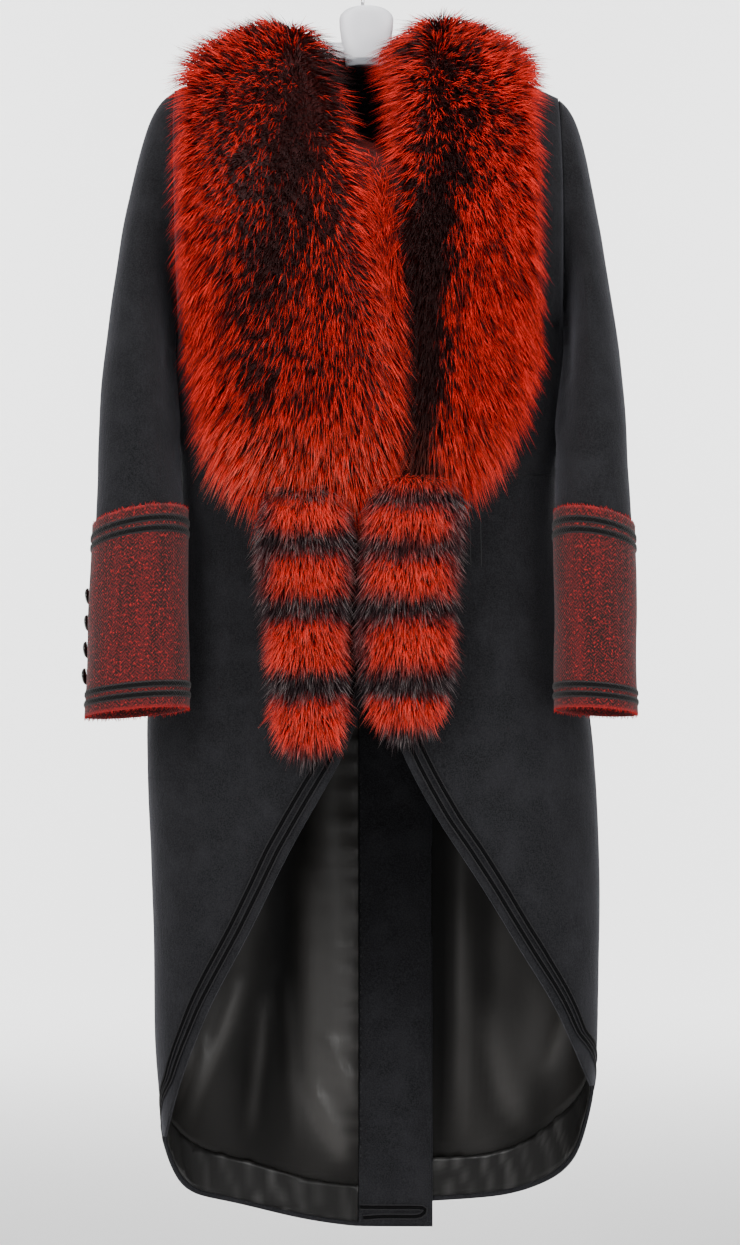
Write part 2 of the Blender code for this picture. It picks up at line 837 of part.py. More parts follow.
def ribbon_line(front, back, distance):
    """A row of ribbon at a distance inside the free edge, from the closure to the vent."""
    marks = []
    for drop in RIBBON_FRONT_DROPS:
        i = row_number(front, drop)
        j = front.inside(i, distance)
        if j < 0.35 or i > len(front.rows) - 2:
            break
        marks.append(front.at(i, j, 0))
    for j in [1.2, *range(2, BACK_COLUMNS), BACK_COLUMNS - 0.1]:
        marks.append(back.at(back.above_hem(j, distance), j, 0))
    path, ups = [], []
    for start, end in zip(marks, marks[1:] + marks[-1:]):
        length = np.linalg.norm(end - start)
        count = 1
        if max(abs(start[0]), abs(end[0])) > TIGHT_FROM:
            count = max(1, math.ceil(length / TIGHT_STEP))
        for k in range(count):
            angle, row = surface_at(start + (end - start) * k / count)
            path.append(body(angle, row))
            ups.append(outward(angle, row))
    return path, ups


def edge_ribbon(front, back, velvet):
    """One ribbon laid in two rows, which turns at the vent."""
    first, first_up = ribbon_line(front, back, RIBBON_FIRST)
    second, second_up = ribbon_line(front, back, RIBBON_SECOND)
    turn = [(first[-1] + second[-1]) / 2 + (first[-1] - first[-2]) * 0.12]
    path = first + turn + second[::-1]
    ups = first_up + [first_up[-1]] + second_up[::-1]
    return ribbon("ribbon_" + front.side, path, ups, RIBBON_LIFT, velvet)


def vent_ribbon(grid, velvet):
    """The ribbon's two rows across the strip of the underlap."""
    inside = -CLOTH - LAYER - FACING
    path, ups = [], []
    columns = [STRIP_COLUMN + 0.1, STRIP_COLUMN + 1, BACK_COLUMNS - 0.5, BACK_COLUMNS - 0.06]
    for above, line in ((RIBBON_FIRST, columns), (RIBBON_SECOND, columns[::-1])):
        for j in line:
            i = grid.row_of(j, grid.seam(j, 0) - above)
            path.append(grid.at(i, j, inside))
            ups.append(grid.at(i, j, 0) - grid.at(i, j, 1))
    return ribbon("ribbon_vent", path, ups, LAYER, velvet)


def fur(side, pelt):
    """One half of the collar: a pillow of the fur's pile over the coat, neck and shoulders."""
    table = FURS[side]
    sign = -1 if side == "left" else 1
    rings = []
    for i in range(FUR_STATIONS + 1):
        at = (len(table.key) - 1) * i / FUR_STATIONS
        near_x = table.at("in_x", at)
        far_x = table.at("out_x", at)
        near_row = table.at("in_row", at)
        far_row = table.at("out_row", at)
        pile = table.at("pile", at)
        under, over = [], []
        for k in range(FUR_AROUND + 1):
            s = (1 - math.cos(math.pi * k / FUR_AROUND)) / 2
            row = near_row + (far_row - near_row) * s
            x = sign * (near_x + (far_x - near_x) * s)
            rise = pile * (1 - abs(2 * s - 1) ** 2.6) ** (1 / 2.2)
            under.append(on_body(x, row, FUR_GAP))
            over.append(on_body(x, row, FUR_GAP + 1 + rise))
        loop = under + over[::-1]
        rings.append(loop if side == "left" else loop[::-1])
    return capped_tube("fur_" + side, rings, pelt)


def tail(side, pelt):
    table = TAILS[side]
    first, last = table.key[0], table.key[-1]
    rings = []
    for drop in rows_between(first, last, TAIL_RINGS):
        x = table.at("x", drop)
        width = table.at("width", drop)
        depth = table.at("depth", drop)
        touching = (x - width * 0.7, x, x + width * 0.7)
        middle = min(on_body(place, row_at(drop))[1] for place in touching) - TAIL_GAP - depth
        rings.append(
            [
                np.array([x + width * math.cos(c), middle + depth * math.sin(c), -drop])
                for c in circle(TAIL_AROUND)
            ]
        )
    return capped_tube("tail_" + side, rings, pelt)


def hanger(plastic):
    """The head between the shoulders and the two arms that carry them, one moulding."""
    rings = []
    for x in ARM_STEPS:
        side = "left" if x < 0 else "right"
        height, depth = HANGER_ARM.at("height", abs(x)), HANGER_ARM.at("depth", abs(x))
        seam = 65 + (SHOULDER[side] - 65) * abs(x) / SIDES.at(side, 0)
        middle = max(ARM_MIDDLE, seam + CLOTH * 1.1 + ARM_TOP + height)
        rings.append(
            [
                np.array([x, depth * math.sin(c) + ARMHOLE_Y, height * math.cos(c) - middle])
                for c in circle(ARM_SIDES)
            ]
        )
    arms = capped_tube("hanger", rings, plastic)
    rings = []
    for drop in HANGER_HEAD.key:
        width = HANGER_HEAD.at("width", drop)
        depth = min(HEAD_DEPTH, width)
        rings.append(
            [
                np.array([HEAD_X + width * math.cos(c), HEAD_Y + depth * power(math.sin(c), 0.6), -drop])
                for c in circle(HEAD_SIDES)
            ]
        )
    head = capped_tube("hanger_head_shape", rings, plastic)
    head.hide_render = True
    head.display_type = "WIRE"
    union = arms.modifiers.new("head", "BOOLEAN")
    union.operation = "UNION"
    union.object = head


def hook(steel):
    """The wire hook: up out of the head, then round over the rail."""
    centre = HOOK_WIRE - HOOK_RADIUS
    path = [np.array([HOOK_STEM, 0, -drop]) for drop in HOOK_STEM_DROPS]
    for k in range(HOOK_STEPS + 1):
        turn = math.radians(HOOK_FROM + HOOK_TURN * k / HOOK_STEPS)
        across = HOOK_RADIUS * math.cos(turn)
        path.append(np.array([across, 0, centre + HOOK_RADIUS * math.sin(turn)]))
    forward = np.array([0, 1.0, 0])
    rings = []
    for i, point in enumerate(path):
        ahead = path[min(i + 1, len(path) - 1)] - path[max(i - 1, 0)]
        ahead /= np.linalg.norm(ahead)
        side = np.cross(ahead, forward)
        rings.append(
            [
                point + HOOK_WIRE * (side * math.cos(c) + forward * math.sin(c))
                for c in circle(HOOK_SIDES)
            ]
        )
    return capped_tube("hook", rings, steel)


def main():
    for obj in list(bpy.data.objects):
        bpy.data.objects.remove(obj)
    cashmere = material("cashmere cloth", (0.017, 0.018, 0.023), 0.92)
    tweed = material("wool tweed", (0.16, 0.02, 0.02), 0.9)
    satin = material("lining satin", (0.045, 0.042, 0.038), 0.4)
    velvet = material("velvet ribbon", (0.002, 0.002, 0.002), 0.95)
    pelt = material("dyed fur", (0.55, 0.035, 0.012), 0.7)
    horn = material("horn buttons", (0.01, 0.01, 0.01), 0.25)
    plastic = material("white plastic", (0.8, 0.8, 0.83), 0.35)
    steel = material("polished steel", (0.6, 0.6, 0.6), 0.2, 1.0)
    grids = {side: BackGrid(side) for side in ("left", "right")}
    fronts = {side: FrontGrid(side) for side in ("left", "right")}
    for side in ("left", "right"):
        front_panel(fronts[side], cashmere)
        back_panel(grids[side], cashmere)
        sleeve(side, cashmere)
        cuff(side, tweed)
        lining(grids[side], satin)
        hem_facing(grids[side], satin)
        edge_ribbon(fronts[side], grids[side], velvet)
        fur(side, pelt)
        tail(side, pelt)
        for i in range(BUTTON_COUNT):
            button(f"button_{side}_{i + 1}", side, BUTTON_FIRST + BUTTON_STEP * i, horn)
    vent_facing(grids["left"], cashmere)
    vent_ribbon(grids["left"], velvet)
    hanger(plastic)
    hook(steel)


main()
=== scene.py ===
"""The looks of a cashmere coat with a dyed fur collar, fur tails and tweed cuffs, on its hanger.

Metres, +Z up, the front faces -Y. The origin is where the hook rests on a rail.
"left" and "right" are those of someone who looks at the front.
"""

import math

import bmesh
import bpy
import numpy as np
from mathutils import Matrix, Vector
from mathutils.bvhtree import BVHTree


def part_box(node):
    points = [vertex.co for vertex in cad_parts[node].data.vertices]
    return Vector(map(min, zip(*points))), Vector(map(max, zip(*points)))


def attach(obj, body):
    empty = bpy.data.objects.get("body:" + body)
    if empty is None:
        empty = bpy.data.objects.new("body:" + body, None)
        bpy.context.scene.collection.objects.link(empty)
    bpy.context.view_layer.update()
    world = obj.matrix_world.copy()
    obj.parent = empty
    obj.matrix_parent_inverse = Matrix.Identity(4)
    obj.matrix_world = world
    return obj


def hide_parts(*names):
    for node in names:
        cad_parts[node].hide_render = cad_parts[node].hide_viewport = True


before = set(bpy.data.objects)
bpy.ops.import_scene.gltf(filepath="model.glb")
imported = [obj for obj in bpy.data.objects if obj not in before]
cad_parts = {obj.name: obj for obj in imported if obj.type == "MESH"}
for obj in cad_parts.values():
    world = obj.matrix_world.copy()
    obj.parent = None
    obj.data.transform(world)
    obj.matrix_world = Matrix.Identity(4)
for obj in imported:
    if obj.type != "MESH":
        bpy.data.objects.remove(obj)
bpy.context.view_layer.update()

bl_info = {
    "name": "Cashmere coat looks",
    "version": (1, 0, 0),
    "blender": (4, 5, 0),
    "location": "3D View > Sidebar > Coat",
    "description": "Cloth, satin, tweed, velvet, dyed fur and hanger of a hanging coat",
    "category": "Object",
}

MM = 0.001
SIDES = ("left", "right")
SIGN = {"left": -1, "right": 1}

# The camera stands level, this far in front of the hook, and sees this much at that distance.
CAMERA_DISTANCE = 4.5
CAMERA_HEIGHT = -0.6518
FRAME_HEIGHT = 1.1952
SENSOR = 36.0

# Where the paper's rise starts, further back than the camera's distance so that it can go round.
PAPER_BEND = 5.4


# Small helpers


def linear(hex_colour):
    """An sRGB hex colour as linear light with alpha."""
    channels = [int(hex_colour[i:i + 2], 16) / 255 for i in (1, 3, 5)]
    return (*((c / 12.92 if c <= 0.04045 else ((c + 0.055) / 1.055) ** 2.4) for c in channels), 1.0)


def add(tree, kind, settings=None, inputs=None):
    """Adds a node. inputs gives a value, or another node's output, for each socket."""
    node = tree.nodes.new(kind)
    for key, value in (settings or {}).items():
        setattr(node, key, value)
    for key, value in (inputs or {}).items():
        if isinstance(value, bpy.types.NodeSocket):
            tree.links.new(value, node.inputs[key])
        else:
            node.inputs[key].default_value = value
    return node


def smooth(value, low=0.0, high=1.0):
    """0 below low, 1 above high, and a soft step between. Takes arrays."""
    share = np.clip((value - low) / (high - low), 0, 1)
    return share * share * (3 - 2 * share)


def points_of(mesh):
    data = np.empty(len(mesh.vertices) * 3)
    mesh.vertices.foreach_get("co", data)
    return data.reshape(-1, 3)


def set_points(mesh, points):
    mesh.vertices.foreach_set("co", np.asarray(points, np.float32).ravel())
    mesh.update()


def normals_of(mesh):
    data = np.empty(len(mesh.vertices) * 3)
    mesh.vertices.foreach_get("normal", data)
    return data.reshape(-1, 3)


def set_attribute(mesh, name, values, kind="FLOAT"):
    made = mesh.attributes.new(name, kind, "POINT")
    field = "value" if kind == "FLOAT" else "vector"
    made.data.foreach_set(field, np.asarray(values, np.float32).ravel())


def circle(count):
    """Angles around a full turn."""
    return np.linspace(0, 2 * math.pi, count + 1)[:-1]


def unit(vectors):
    return vectors / np.maximum(np.linalg.norm(vectors, axis=-1, keepdims=True), 1e-9)


def add_piece(name, mesh, material, nodes=()):
    """Puts a finished mesh in the scene as a piece that rides on the coat."""
    mesh.name = name
    mesh.materials.clear()
    mesh.materials.append(material)
    mesh.shade_smooth()
    piece = bpy.data.objects.new(name, mesh)
    bpy.context.scene.collection.objects.link(piece)
    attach(piece, "root")
    if nodes:
        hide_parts(*nodes)
    return piece


def evaluated_mesh(obj):
    """The object's mesh with its modifiers applied. The object itself is removed."""
    graph = bpy.context.evaluated_depsgraph_get()
    mesh = bpy.data.meshes.new_from_object(obj.evaluated_get(graph))
    obj.modifiers.clear()
    bpy.data.objects.remove(obj)
    return mesh


CREASE_ANGLE = math.radians(40)
QUAD_FOLD = math.radians(40)
QUAD_SKEW = math.radians(80)


def fine_copy(node, levels):
    """A smooth, finer copy of a solid's mesh: its triangles joined to quads, its rims kept sharp."""
    mesh = frame_mesh(node)
    shell = bmesh.new()
    shell.from_mesh(mesh)
    bmesh.ops.remove_doubles(shell, verts=shell.verts, dist=1e-5)
    bmesh.ops.join_triangles(
        shell, faces=shell.faces, angle_face_threshold=QUAD_FOLD, angle_shape_threshold=QUAD_SKEW
    )
    crease = shell.edges.layers.float.new("crease_edge")
    for edge in shell.edges:
        if len(edge.link_faces) == 2 and edge.calc_face_angle() > CREASE_ANGLE:
            edge[crease] = 1.0
    shell.to_mesh(mesh)
    shell.free()
    holder = bpy.data.objects.new("finer", mesh)
    bpy.context.scene.collection.objects.link(holder)
    finer = holder.modifiers.new("finer", "SUBSURF")
    finer.levels = levels
    finer.render_levels = levels
    return evaluated_mesh(holder)


def frame_mesh(node):
    return bpy.data.objects[node].data.copy()


def grid_mesh(name, rows, closed=False, capped=False):
    """A mesh through rows of points, each row open or closed, its ends capped or not."""
    rows = np.asarray(rows)
    count, across = rows.shape[:2]
    span = across if closed else across - 1
    faces = []
    for i in range(count - 1):
        for j in range(span):
            k = (j + 1) % across
            faces.append((i * across + j, i * across + k, (i + 1) * across + k, (i + 1) * across + j))
    if capped:
        faces.append(tuple(reversed(range(across))))
        faces.append(tuple(range((count - 1) * across, count * across)))
    mesh = bpy.data.meshes.new(name)
    mesh.from_pydata([tuple(p) for p in rows.reshape(-1, 3)], [], faces)
    return mesh


def facing_out(mesh):
    """Turns the faces of a closed mesh outwards."""
    shell = bmesh.new()
    shell.from_mesh(mesh)
    bmesh.ops.recalc_face_normals(shell, faces=shell.faces)
    shell.to_mesh(mesh)
    shell.free()
    return mesh


def join_meshes(name, meshes, fields=()):
    """One mesh from several. fields names the float attributes to keep."""
    points, faces = [], []
    kept = {field: [] for field in fields}
    for mesh in meshes:
        first = len(points)
        points += [tuple(v.co) for v in mesh.vertices]
        faces += [[first + index for index in face.vertices] for face in mesh.polygons]
        for field in fields:
            values = np.zeros(len(mesh.vertices), np.float32)
            if field in mesh.attributes:
                mesh.attributes[field].data.foreach_get("value", values)
            kept[field].append(values)
    joined = bpy.data.meshes.new(name)
    joined.from_pydata(points, [], faces)
    for field, values in kept.items():
        set_attribute(joined, field, np.concatenate(values))
    return joined


# Materials


def new_material(name):
    made = bpy.data.materials.new(name)
    made.use_nodes = True
    tree = made.node_tree
    return made, tree, tree.nodes["Principled BSDF"]


def set_shader(shader, **values):
    for key, value in values.items():
        shader.inputs[key.replace("_", " ")].default_value = value


def noise(tree, place, size, detail=2.0, roughness=0.5, stretch=(1, 1, 1)):
    """Noise whose lumps measure size in metres."""
    mapping = add(tree, "ShaderNodeMapping", None, {"Vector": place, "Scale": stretch})
    return add(
        tree,
        "ShaderNodeTexNoise",
        None,
        {"Vector": mapping.outputs[0], "Scale": 1 / size, "Detail": detail, "Roughness": roughness},
    ).outputs[0]


def mix(tree, factor, first, second):
    return add(
        tree, "ShaderNodeMix", {"data_type": "RGBA"}, {0: factor, 6: first, 7: second}
    ).outputs[2]


def ramp(tree, value, low, high, to_low=0.0, to_high=1.0):
    return add(
        tree,
        "ShaderNodeMapRange",
        {"interpolation_type": "SMOOTHSTEP"},
        {0: value, 1: low, 2: high, 3: to_low, 4: to_high},
    ).outputs[0]


def calculate(tree, operation, first, second=0.5):
    return add(tree, "ShaderNodeMath", {"operation": operation}, {0: first, 1: second}).outputs[0]


def bump(tree, shader, height, distance, strength=1.0):
    made = add(
        tree, "ShaderNodeBump", None, {"Height": height, "Distance": distance, "Strength": strength}
    )
    tree.links.new(made.outputs[0], shader.inputs["Normal"])


def attribute(tree, name):
    return add(tree, "ShaderNodeAttribute", {"attribute_name": name}).outputs["Fac"]


def object_place(tree):
    return add(tree, "ShaderNodeTexCoord").outputs["Object"]


# Threads and fibres finer than about a millimetre don't show at the photo's distance, so the
# grain sizes here are the finest that do.
NAP_GRAIN = 0.0013
NAP_PATCH = 0.03


def cashmere_material(look):
    """Milled cashmere: a soft nap hides the weave, so it is matt with a pale edge sheen."""
    made, tree, shader = new_material("milled cashmere")
    place = object_place(tree)
    grain = noise(tree, place, NAP_GRAIN, 3, 0.7)
    patch = noise(tree, place, NAP_PATCH, 3, 0.55)
    fibre = noise(tree, place, NAP_GRAIN * 3, 2, 0.6, (1, 1, 0.35))
    base = mix(tree, ramp(tree, grain, 0.36, 0.66), linear("#09090B"), tuple(look.cloth_colour) + (1,))
    base = mix(tree, ramp(tree, patch, 0.35, 0.75, 0, 0.35), base, linear("#27272A"))
    tree.links.new(base, shader.inputs["Base Color"])
    set_shader(
        shader, Roughness=0.95, Specular_IOR_Level=0.15, Sheen_Weight=0.35, Sheen_Roughness=0.45,
        Sheen_Tint=linear("#8D8D96"),
    )
    height = calculate(tree, "ADD", grain, fibre)
    bump(tree, shader, height, 0.0006, 0.6)
    return made


TWEED_PITCH = 0.0046
TWEED_STRIPE = 0.016


def tweed_material(look):
    """Wool tweed: red slubs over a near-black warp, in small broken zigzags and faint stripes."""
    made, tree, shader = new_material("woven wool tweed")
    weave = add(tree, "ShaderNodeUVMap", {"uv_map": "weave"}).outputs[0]
    parts = add(tree, "ShaderNodeSeparateXYZ", None, {0: weave})
    around, along = parts.outputs[0], parts.outputs[1]
    zig = calculate(tree, "PINGPONG", around, TWEED_PITCH)
    slant = calculate(tree, "ADD", along, zig)
    wale = calculate(tree, "PINGPONG", slant, TWEED_PITCH * 0.36)
    wale = ramp(tree, wale, TWEED_PITCH * 0.08, TWEED_PITCH * 0.3)
    slub = noise(tree, weave, 0.0021, 3, 0.75, (1, 0.75, 1))
    broken = noise(tree, weave, 0.006, 2, 0.6)
    stripe = noise(tree, weave, TWEED_STRIPE, 2, 0.5, (1, 0.08, 1))
    level = calculate(tree, "ADD", slub, calculate(tree, "MULTIPLY", wale, 0.2))
    level = calculate(tree, "ADD", level, calculate(tree, "MULTIPLY", broken, 0.4))
    level = calculate(tree, "ADD", level, calculate(tree, "MULTIPLY", stripe, 0.5))
    base = mix(tree, ramp(tree, level, 0.9, 1.15), linear("#1E1513"), linear("#54191A"))
    base = mix(tree, ramp(tree, slub, 0.56, 0.7), base, tuple(look.tweed_colour) + (1,))
    piping = attribute(tree, "braid")
    base = mix(tree, piping, base, linear("#252122"))
    base = mix(tree, attribute(tree, "frayed"), base, linear("#8E1A1A"))
    base = mix(tree, attribute(tree, "velvet"), base, linear("#020202"))
    tree.links.new(base, shader.inputs["Base Color"])
    set_shader(shader, Roughness=0.92, Specular_IOR_Level=0.15, Sheen_Weight=0.1, Sheen_Roughness=0.5)
    height = calculate(tree, "ADD", slub, calculate(tree, "MULTIPLY", wale, 0.7))
    bump(tree, shader, height, 0.0008, 0.7)
    return made


def yarn_material():
    """Loose woollen yarn ends: matt, red with some darker plies."""
    made, tree, shader = new_material("red woollen yarn")
    ply = noise(tree, object_place(tree), 0.003, 2, 0.6)
    base = mix(tree, ramp(tree, ply, 0.35, 0.65), linear("#7A1416"), linear("#C42A26"))
    tree.links.new(base, shader.inputs["Base Color"])
    set_shader(shader, Roughness=0.9, Specular_IOR_Level=0.15)
    return made


def thread_material():
    """Mercerised cotton thread: near black, a little brighter than the cloth."""
    made, tree, shader = new_material("mercerised black thread")
    twist = noise(tree, object_place(tree), 0.0012, 2, 0.5)
    base = mix(tree, twist, linear("#0A0A0B"), linear("#1A1A1C"))
    tree.links.new(base, shader.inputs["Base Color"])
    set_shader(shader, Roughness=0.55, Specular_IOR_Level=0.3)
    return made


def satin_material(name, base_colour, painted_highlight_colour):
    """Viscose satin on a near-black ground: its colour and gloss are painted lighter where its folds rise,
    as painted highlight, and stay dark in the valleys, as painted shade; long floats vary its gloss in fine
    streaks.
    """
    made, tree, shader = new_material(name)
    place = object_place(tree)
    float_line = noise(tree, place, 0.0022, 2, 0.5, (1, 1, 0.12))
    painted_fold_light = attribute(tree, "painted_fold_light")
    # Painted highlight and shade: the colour goes from the dark ground to the lit colour as the folds rise.
    base = mix(tree, painted_fold_light, base_colour, painted_highlight_colour)
    tree.links.new(base, shader.inputs["Base Color"])
    tree.links.new(ramp(tree, float_line, 0.3, 0.7, 0.36, 0.46), shader.inputs["Roughness"])
    tree.links.new(ramp(tree, painted_fold_light, 0, 1, 0.06, 0.34), shader.inputs["Specular IOR Level"])
    set_shader(shader, Anisotropic=0.4)
    bump(tree, shader, float_line, 0.0002, 0.3)
    return made


def velvet_material():
    """Velvet: upright pile that swallows light."""
    made, tree, shader = new_material("cotton velvet")
    pile = noise(tree, object_place(tree), 0.0011, 2, 0.6)
    base = mix(tree, pile, linear("#030303"), linear("#101011"))
    tree.links.new(base, shader.inputs["Base Color"])
    set_shader(shader, Roughness=1.0, Specular_IOR_Level=0.05, Sheen_Weight=0.12, Sheen_Roughness=0.3)
    bump(tree, shader, pile, 0.0004, 0.5)
    return made


def braid_material():
    """Corded edging beside the velvet: grey twisted thread."""
    made, tree, shader = new_material("twisted grey edging")
    strand = noise(tree, object_place(tree), 0.0014, 2, 0.6)
    base = mix(tree, strand, linear("#121214"), linear("#2C2A2C"))
    tree.links.new(base, shader.inputs["Base Color"])
    set_shader(shader, Roughness=0.8, Specular_IOR_Level=0.2)
    bump(tree, shader, strand, 0.0004, 0.6)
    return made


def fur_material(look):
    """Dyed raccoon: glossy hairs, dark at the root, scarlet above, with natural dark tips."""
    made, tree, shader = new_material("dyed raccoon fur")
    along = attribute(tree, "along")
    tone = attribute(tree, "tone")
    dark = attribute(tree, "dark")
    band = attribute(tree, "band")
    pale = attribute(tree, "pale")
    scarlet = tuple(look.fur_colour) + (1,)
    glow = calculate(tree, "ADD", tone, calculate(tree, "MULTIPLY", pale, 0.35))
    bright = mix(tree, ramp(tree, glow, 0.1, 0.95), linear("#84100E"), scarlet)
    shaded = calculate(tree, "SUBTRACT", dark, calculate(tree, "MULTIPLY", tone, 0.75))
    hair = mix(tree, ramp(tree, shaded, 0.0, 0.3), bright, linear("#200403"))
    pink = mix(tree, tone, linear("#E0503C"), linear("#F08E78"))
    light_tip = calculate(tree, "MULTIPLY", pale, ramp(tree, along, 0.55, 1.0))
    hair = mix(tree, light_tip, hair, pink)
    dusk = mix(tree, ramp(tree, tone, 0.55, 1.0, 0, 1), linear("#2A1A1C"), linear("#8A7F7E"))
    dusk = mix(tree, ramp(tree, along, 0.3, 0.9), linear("#22141A"), dusk)
    hair = mix(tree, band, hair, dusk)
    deep = mix(tree, band, linear("#3A0604"), linear("#140C0E"))
    hair = mix(tree, ramp(tree, along, 0.05, 0.5), deep, hair)
    tree.links.new(hair, shader.inputs["Base Color"])
    set_shader(shader, Roughness=0.5, Specular_IOR_Level=0.22)
    return made


def horn_material():
    """Polished horn: near black with a clear gloss."""
    made, tree, shader = new_material("polished buffalo horn")
    streak = noise(tree, object_place(tree), 0.004, 3, 0.6, (1, 1, 0.3))
    base = mix(tree, streak, linear("#050505"), linear("#1C1816"))
    tree.links.new(base, shader.inputs["Base Color"])
    set_shader(shader, Roughness=0.16, IOR=1.54, Coat_Weight=0.4, Coat_Roughness=0.08)
    return made


def ring_material():
    """Nickel-plated brass: the bright ring of a button and the wire of the hook."""
    made, tree, shader = new_material("nickel-plated wire")
    scuff = noise(tree, object_place(tree), 0.003, 3, 0.6)
    base = mix(tree, scuff, linear("#B9BABD"), linear("#DADBDD"))
    tree.links.new(base, shader.inputs["Base Color"])
    tree.links.new(ramp(tree, scuff, 0.3, 0.8, 0.12, 0.3), shader.inputs["Roughness"])
    set_shader(shader, Metallic=1.0)
    return made


def plastic_material():
    """Moulded polystyrene: white, a little cool, with a satin moulded skin."""
    made, tree, shader = new_material("moulded polystyrene")
    place = object_place(tree)
    flow = noise(tree, place, 0.02, 2, 0.5)
    skin = noise(tree, place, 0.0015, 2, 0.5)
    base = mix(tree, flow, linear("#E3E4EA"), linear("#F2F2F6"))
    base = mix(tree, attribute(tree, "rim"), base, linear("#8D9096"))
    tree.links.new(base, shader.inputs["Base Color"])
    tree.links.new(ramp(tree, flow, 0.2, 0.8, 0.28, 0.4), shader.inputs["Roughness"])
    set_shader(shader, IOR=1.59)
    bump(tree, shader, skin, 0.0001, 0.3)
    return made


# Cloth


BODY_WIDTH = 0.20
BODY_DEPTH = 0.10


# Lines of stitching in millimetres: the cloth they lie on, their ends by x and z, and the lengths
# of a stitch and of the gap after it. A gap of 0 is an unbroken seam line.
SEAM_LINES = (
    ("cloth_front_right", (114, -513.5), (172, -511), 60, 0),
    ("cloth_front_right", (93, -522), (95, -600), 80, 0),
    ("cloth_front_right", (103.5, -522), (105, -600), 80, 0),
    ("cloth_vent_facing", (-9, -800), (-9, -1180), 2.4, 6.5),
)
STITCH_HALF = 0.5
STITCH_HIGH = 0.22


def stitch_meshes():
    """Flat runs of thread on the front of the cloth they are sewn to."""
    made = []
    for name, start, end, stitch, gap in SEAM_LINES:
        cloth = bmesh.new()
        cloth.from_mesh(bpy.data.objects[name].data)
        tree = BVHTree.FromBMesh(cloth)
        cloth.free()
        start, end = (np.array([p[0], 0, p[1]]) * MM for p in (start, end))
        length = np.linalg.norm(end - start) / MM
        at = 0.0
        while at < length - 1:
            places = np.linspace(at, min(at + stitch, length), max(3, int(stitch / 3)))
            path = []
            for place in places:
                point = start + (end - start) * place / length
                hit = tree.ray_cast(Vector((point[0], -1, point[2])), Vector((0, 1, 0)))[0]
                if hit:
                    path.append(tuple(hit))
            if len(path) > 2:
                path = np.array(path)
                outline = [(STITCH_HALF * math.cos(t), STITCH_HIGH * math.sin(t)) for t in circle(6)]
                made.append(sweep("stitch", path, np.tile([0, -1.0, 0], (len(path), 1)), outline))
            at += stitch + max(gap, 1)
    return made


def body_outward(points):
    """The level direction out of the coat's body at each point."""
    level = points * np.array([1 / BODY_WIDTH**2, 1 / BODY_DEPTH**2, 0])
    return unit(level)


def crease(points, start, end, width, depth, weights=(1, 1, 1)):
    """The depth at each point of a soft trough from start to end. Below 0 it is a ridge."""
    start = np.array(start) * MM
    end = np.array(end) * MM
    scale = np.array(weights)
    line = (end - start) * scale
    offset = (points - start) * scale
    share = np.clip(offset @ line / (line @ line), 0, 1)
    away = np.linalg.norm(offset - share[:, None] * line, axis=1)
    taper = 0.35 + 0.65 * np.sin(np.pi * share) ** 0.7
    return depth * MM * np.exp(-((away / (width * MM)) ** 2)) * taper


# Soft troughs, in millimetres: two ends, width and depth. A depth below 0 is a ridge.
PANEL_FOLDS = {
    "front_left": [
        ((-172, -380), (-120, -455), 16, 2.6),
        ((-176, -430), (-128, -520), 14, 1.8),
        ((-120, -700), (-138, -960), 26, 3.0),
        ((-178, -640), (-170, -900), 22, 2.4),
        ((-84, -640), (-96, -800), 20, -1.6),
        ((-150, -560), (-80, -590), 14, 1.2),
    ],
    "front_right": [
        ((172, -380), (122, -450), 16, 2.4),
        ((168, -440), (116, -505), 13, 1.6),
        ((128, -690), (150, -980), 26, 3.0),
        ((182, -650), (186, -930), 22, 2.2),
        ((92, -620), (104, -790), 20, -1.6),
        ((150, -548), (100, -560), 12, 1.2),
    ],
    "back_left": [
        ((-170, -380), (-110, -470), 18, 2.8),
        ((-30, -500), (-150, -530), 20, 2.0),
        ((-110, -640), (-128, -1100), 30, 3.4),
        ((-52, -720), (-60, -1180), 26, 2.4),
        ((-176, -700), (-168, -1060), 24, 2.6),
    ],
    "back_right": [
        ((170, -380), (112, -465), 18, 2.6),
        ((34, -505), (148, -532), 20, 2.0),
        ((104, -650), (122, -1090), 30, 3.2),
        ((50, -700), (56, -1160), 26, 2.2),
        ((178, -710), (186, -1040), 24, 2.6),
    ],
}

# On the sleeves the ends have x, y and z.
SLEEVE_FOLDS = {
    "left": [
        ((-205, -58, -350), (-240, -62, -392), 11, 3.0),
        ((-194, -60, -402), (-226, -74, -438), 10, 3.4),
        ((-188, -70, -446), (-236, -84, -474), 11, 3.0),
        ((-186, -20, -470), (-196, -70, -492), 10, 2.6),
        ((-256, -30, -420), (-252, 16, -446), 13, 2.6),
        ((-236, 40, -320), (-214, 52, -290), 16, 2.4),
        ((-226, 30, -470), (-190, 20, -500), 12, 2.6),
        ((-222, -60, -214), (-238, -50, -262), 14, 1.8),
    ],
    "right": [
        ((200, -58, -356), (228, -62, -398), 11, 2.8),
        ((190, -60, -408), (222, -74, -446), 10, 3.2),
        ((186, -70, -452), (226, -84, -482), 11, 2.8),
        ((182, -20, -474), (190, -70, -498), 10, 2.6),
        ((242, -30, -426), (238, 16, -450), 13, 2.4),
        ((222, 40, -324), (204, 52, -292), 16, 2.4),
        ((214, 30, -476), (186, 20, -504), 12, 2.4),
        ((210, -60, -222), (222, -50, -270), 14, 1.8),
    ],
}


def waver(points, size, seed):
    """A soft unevenness from a few sine waves, between -1 and 1."""
    total = 0
    for k, (a, b, c) in enumerate([(1.0, 0.6, 1.3), (0.7, 1.1, -0.8), (1.3, -0.5, 0.6)]):
        phase = seed * 1.7 + k * 2.1
        total = total + np.sin((points @ np.array([a, b, c])) * 2 * np.pi / size + phase)
    return total / 3


PANEL_WAVER = 0.0006
WAVER_SIZE = 0.17


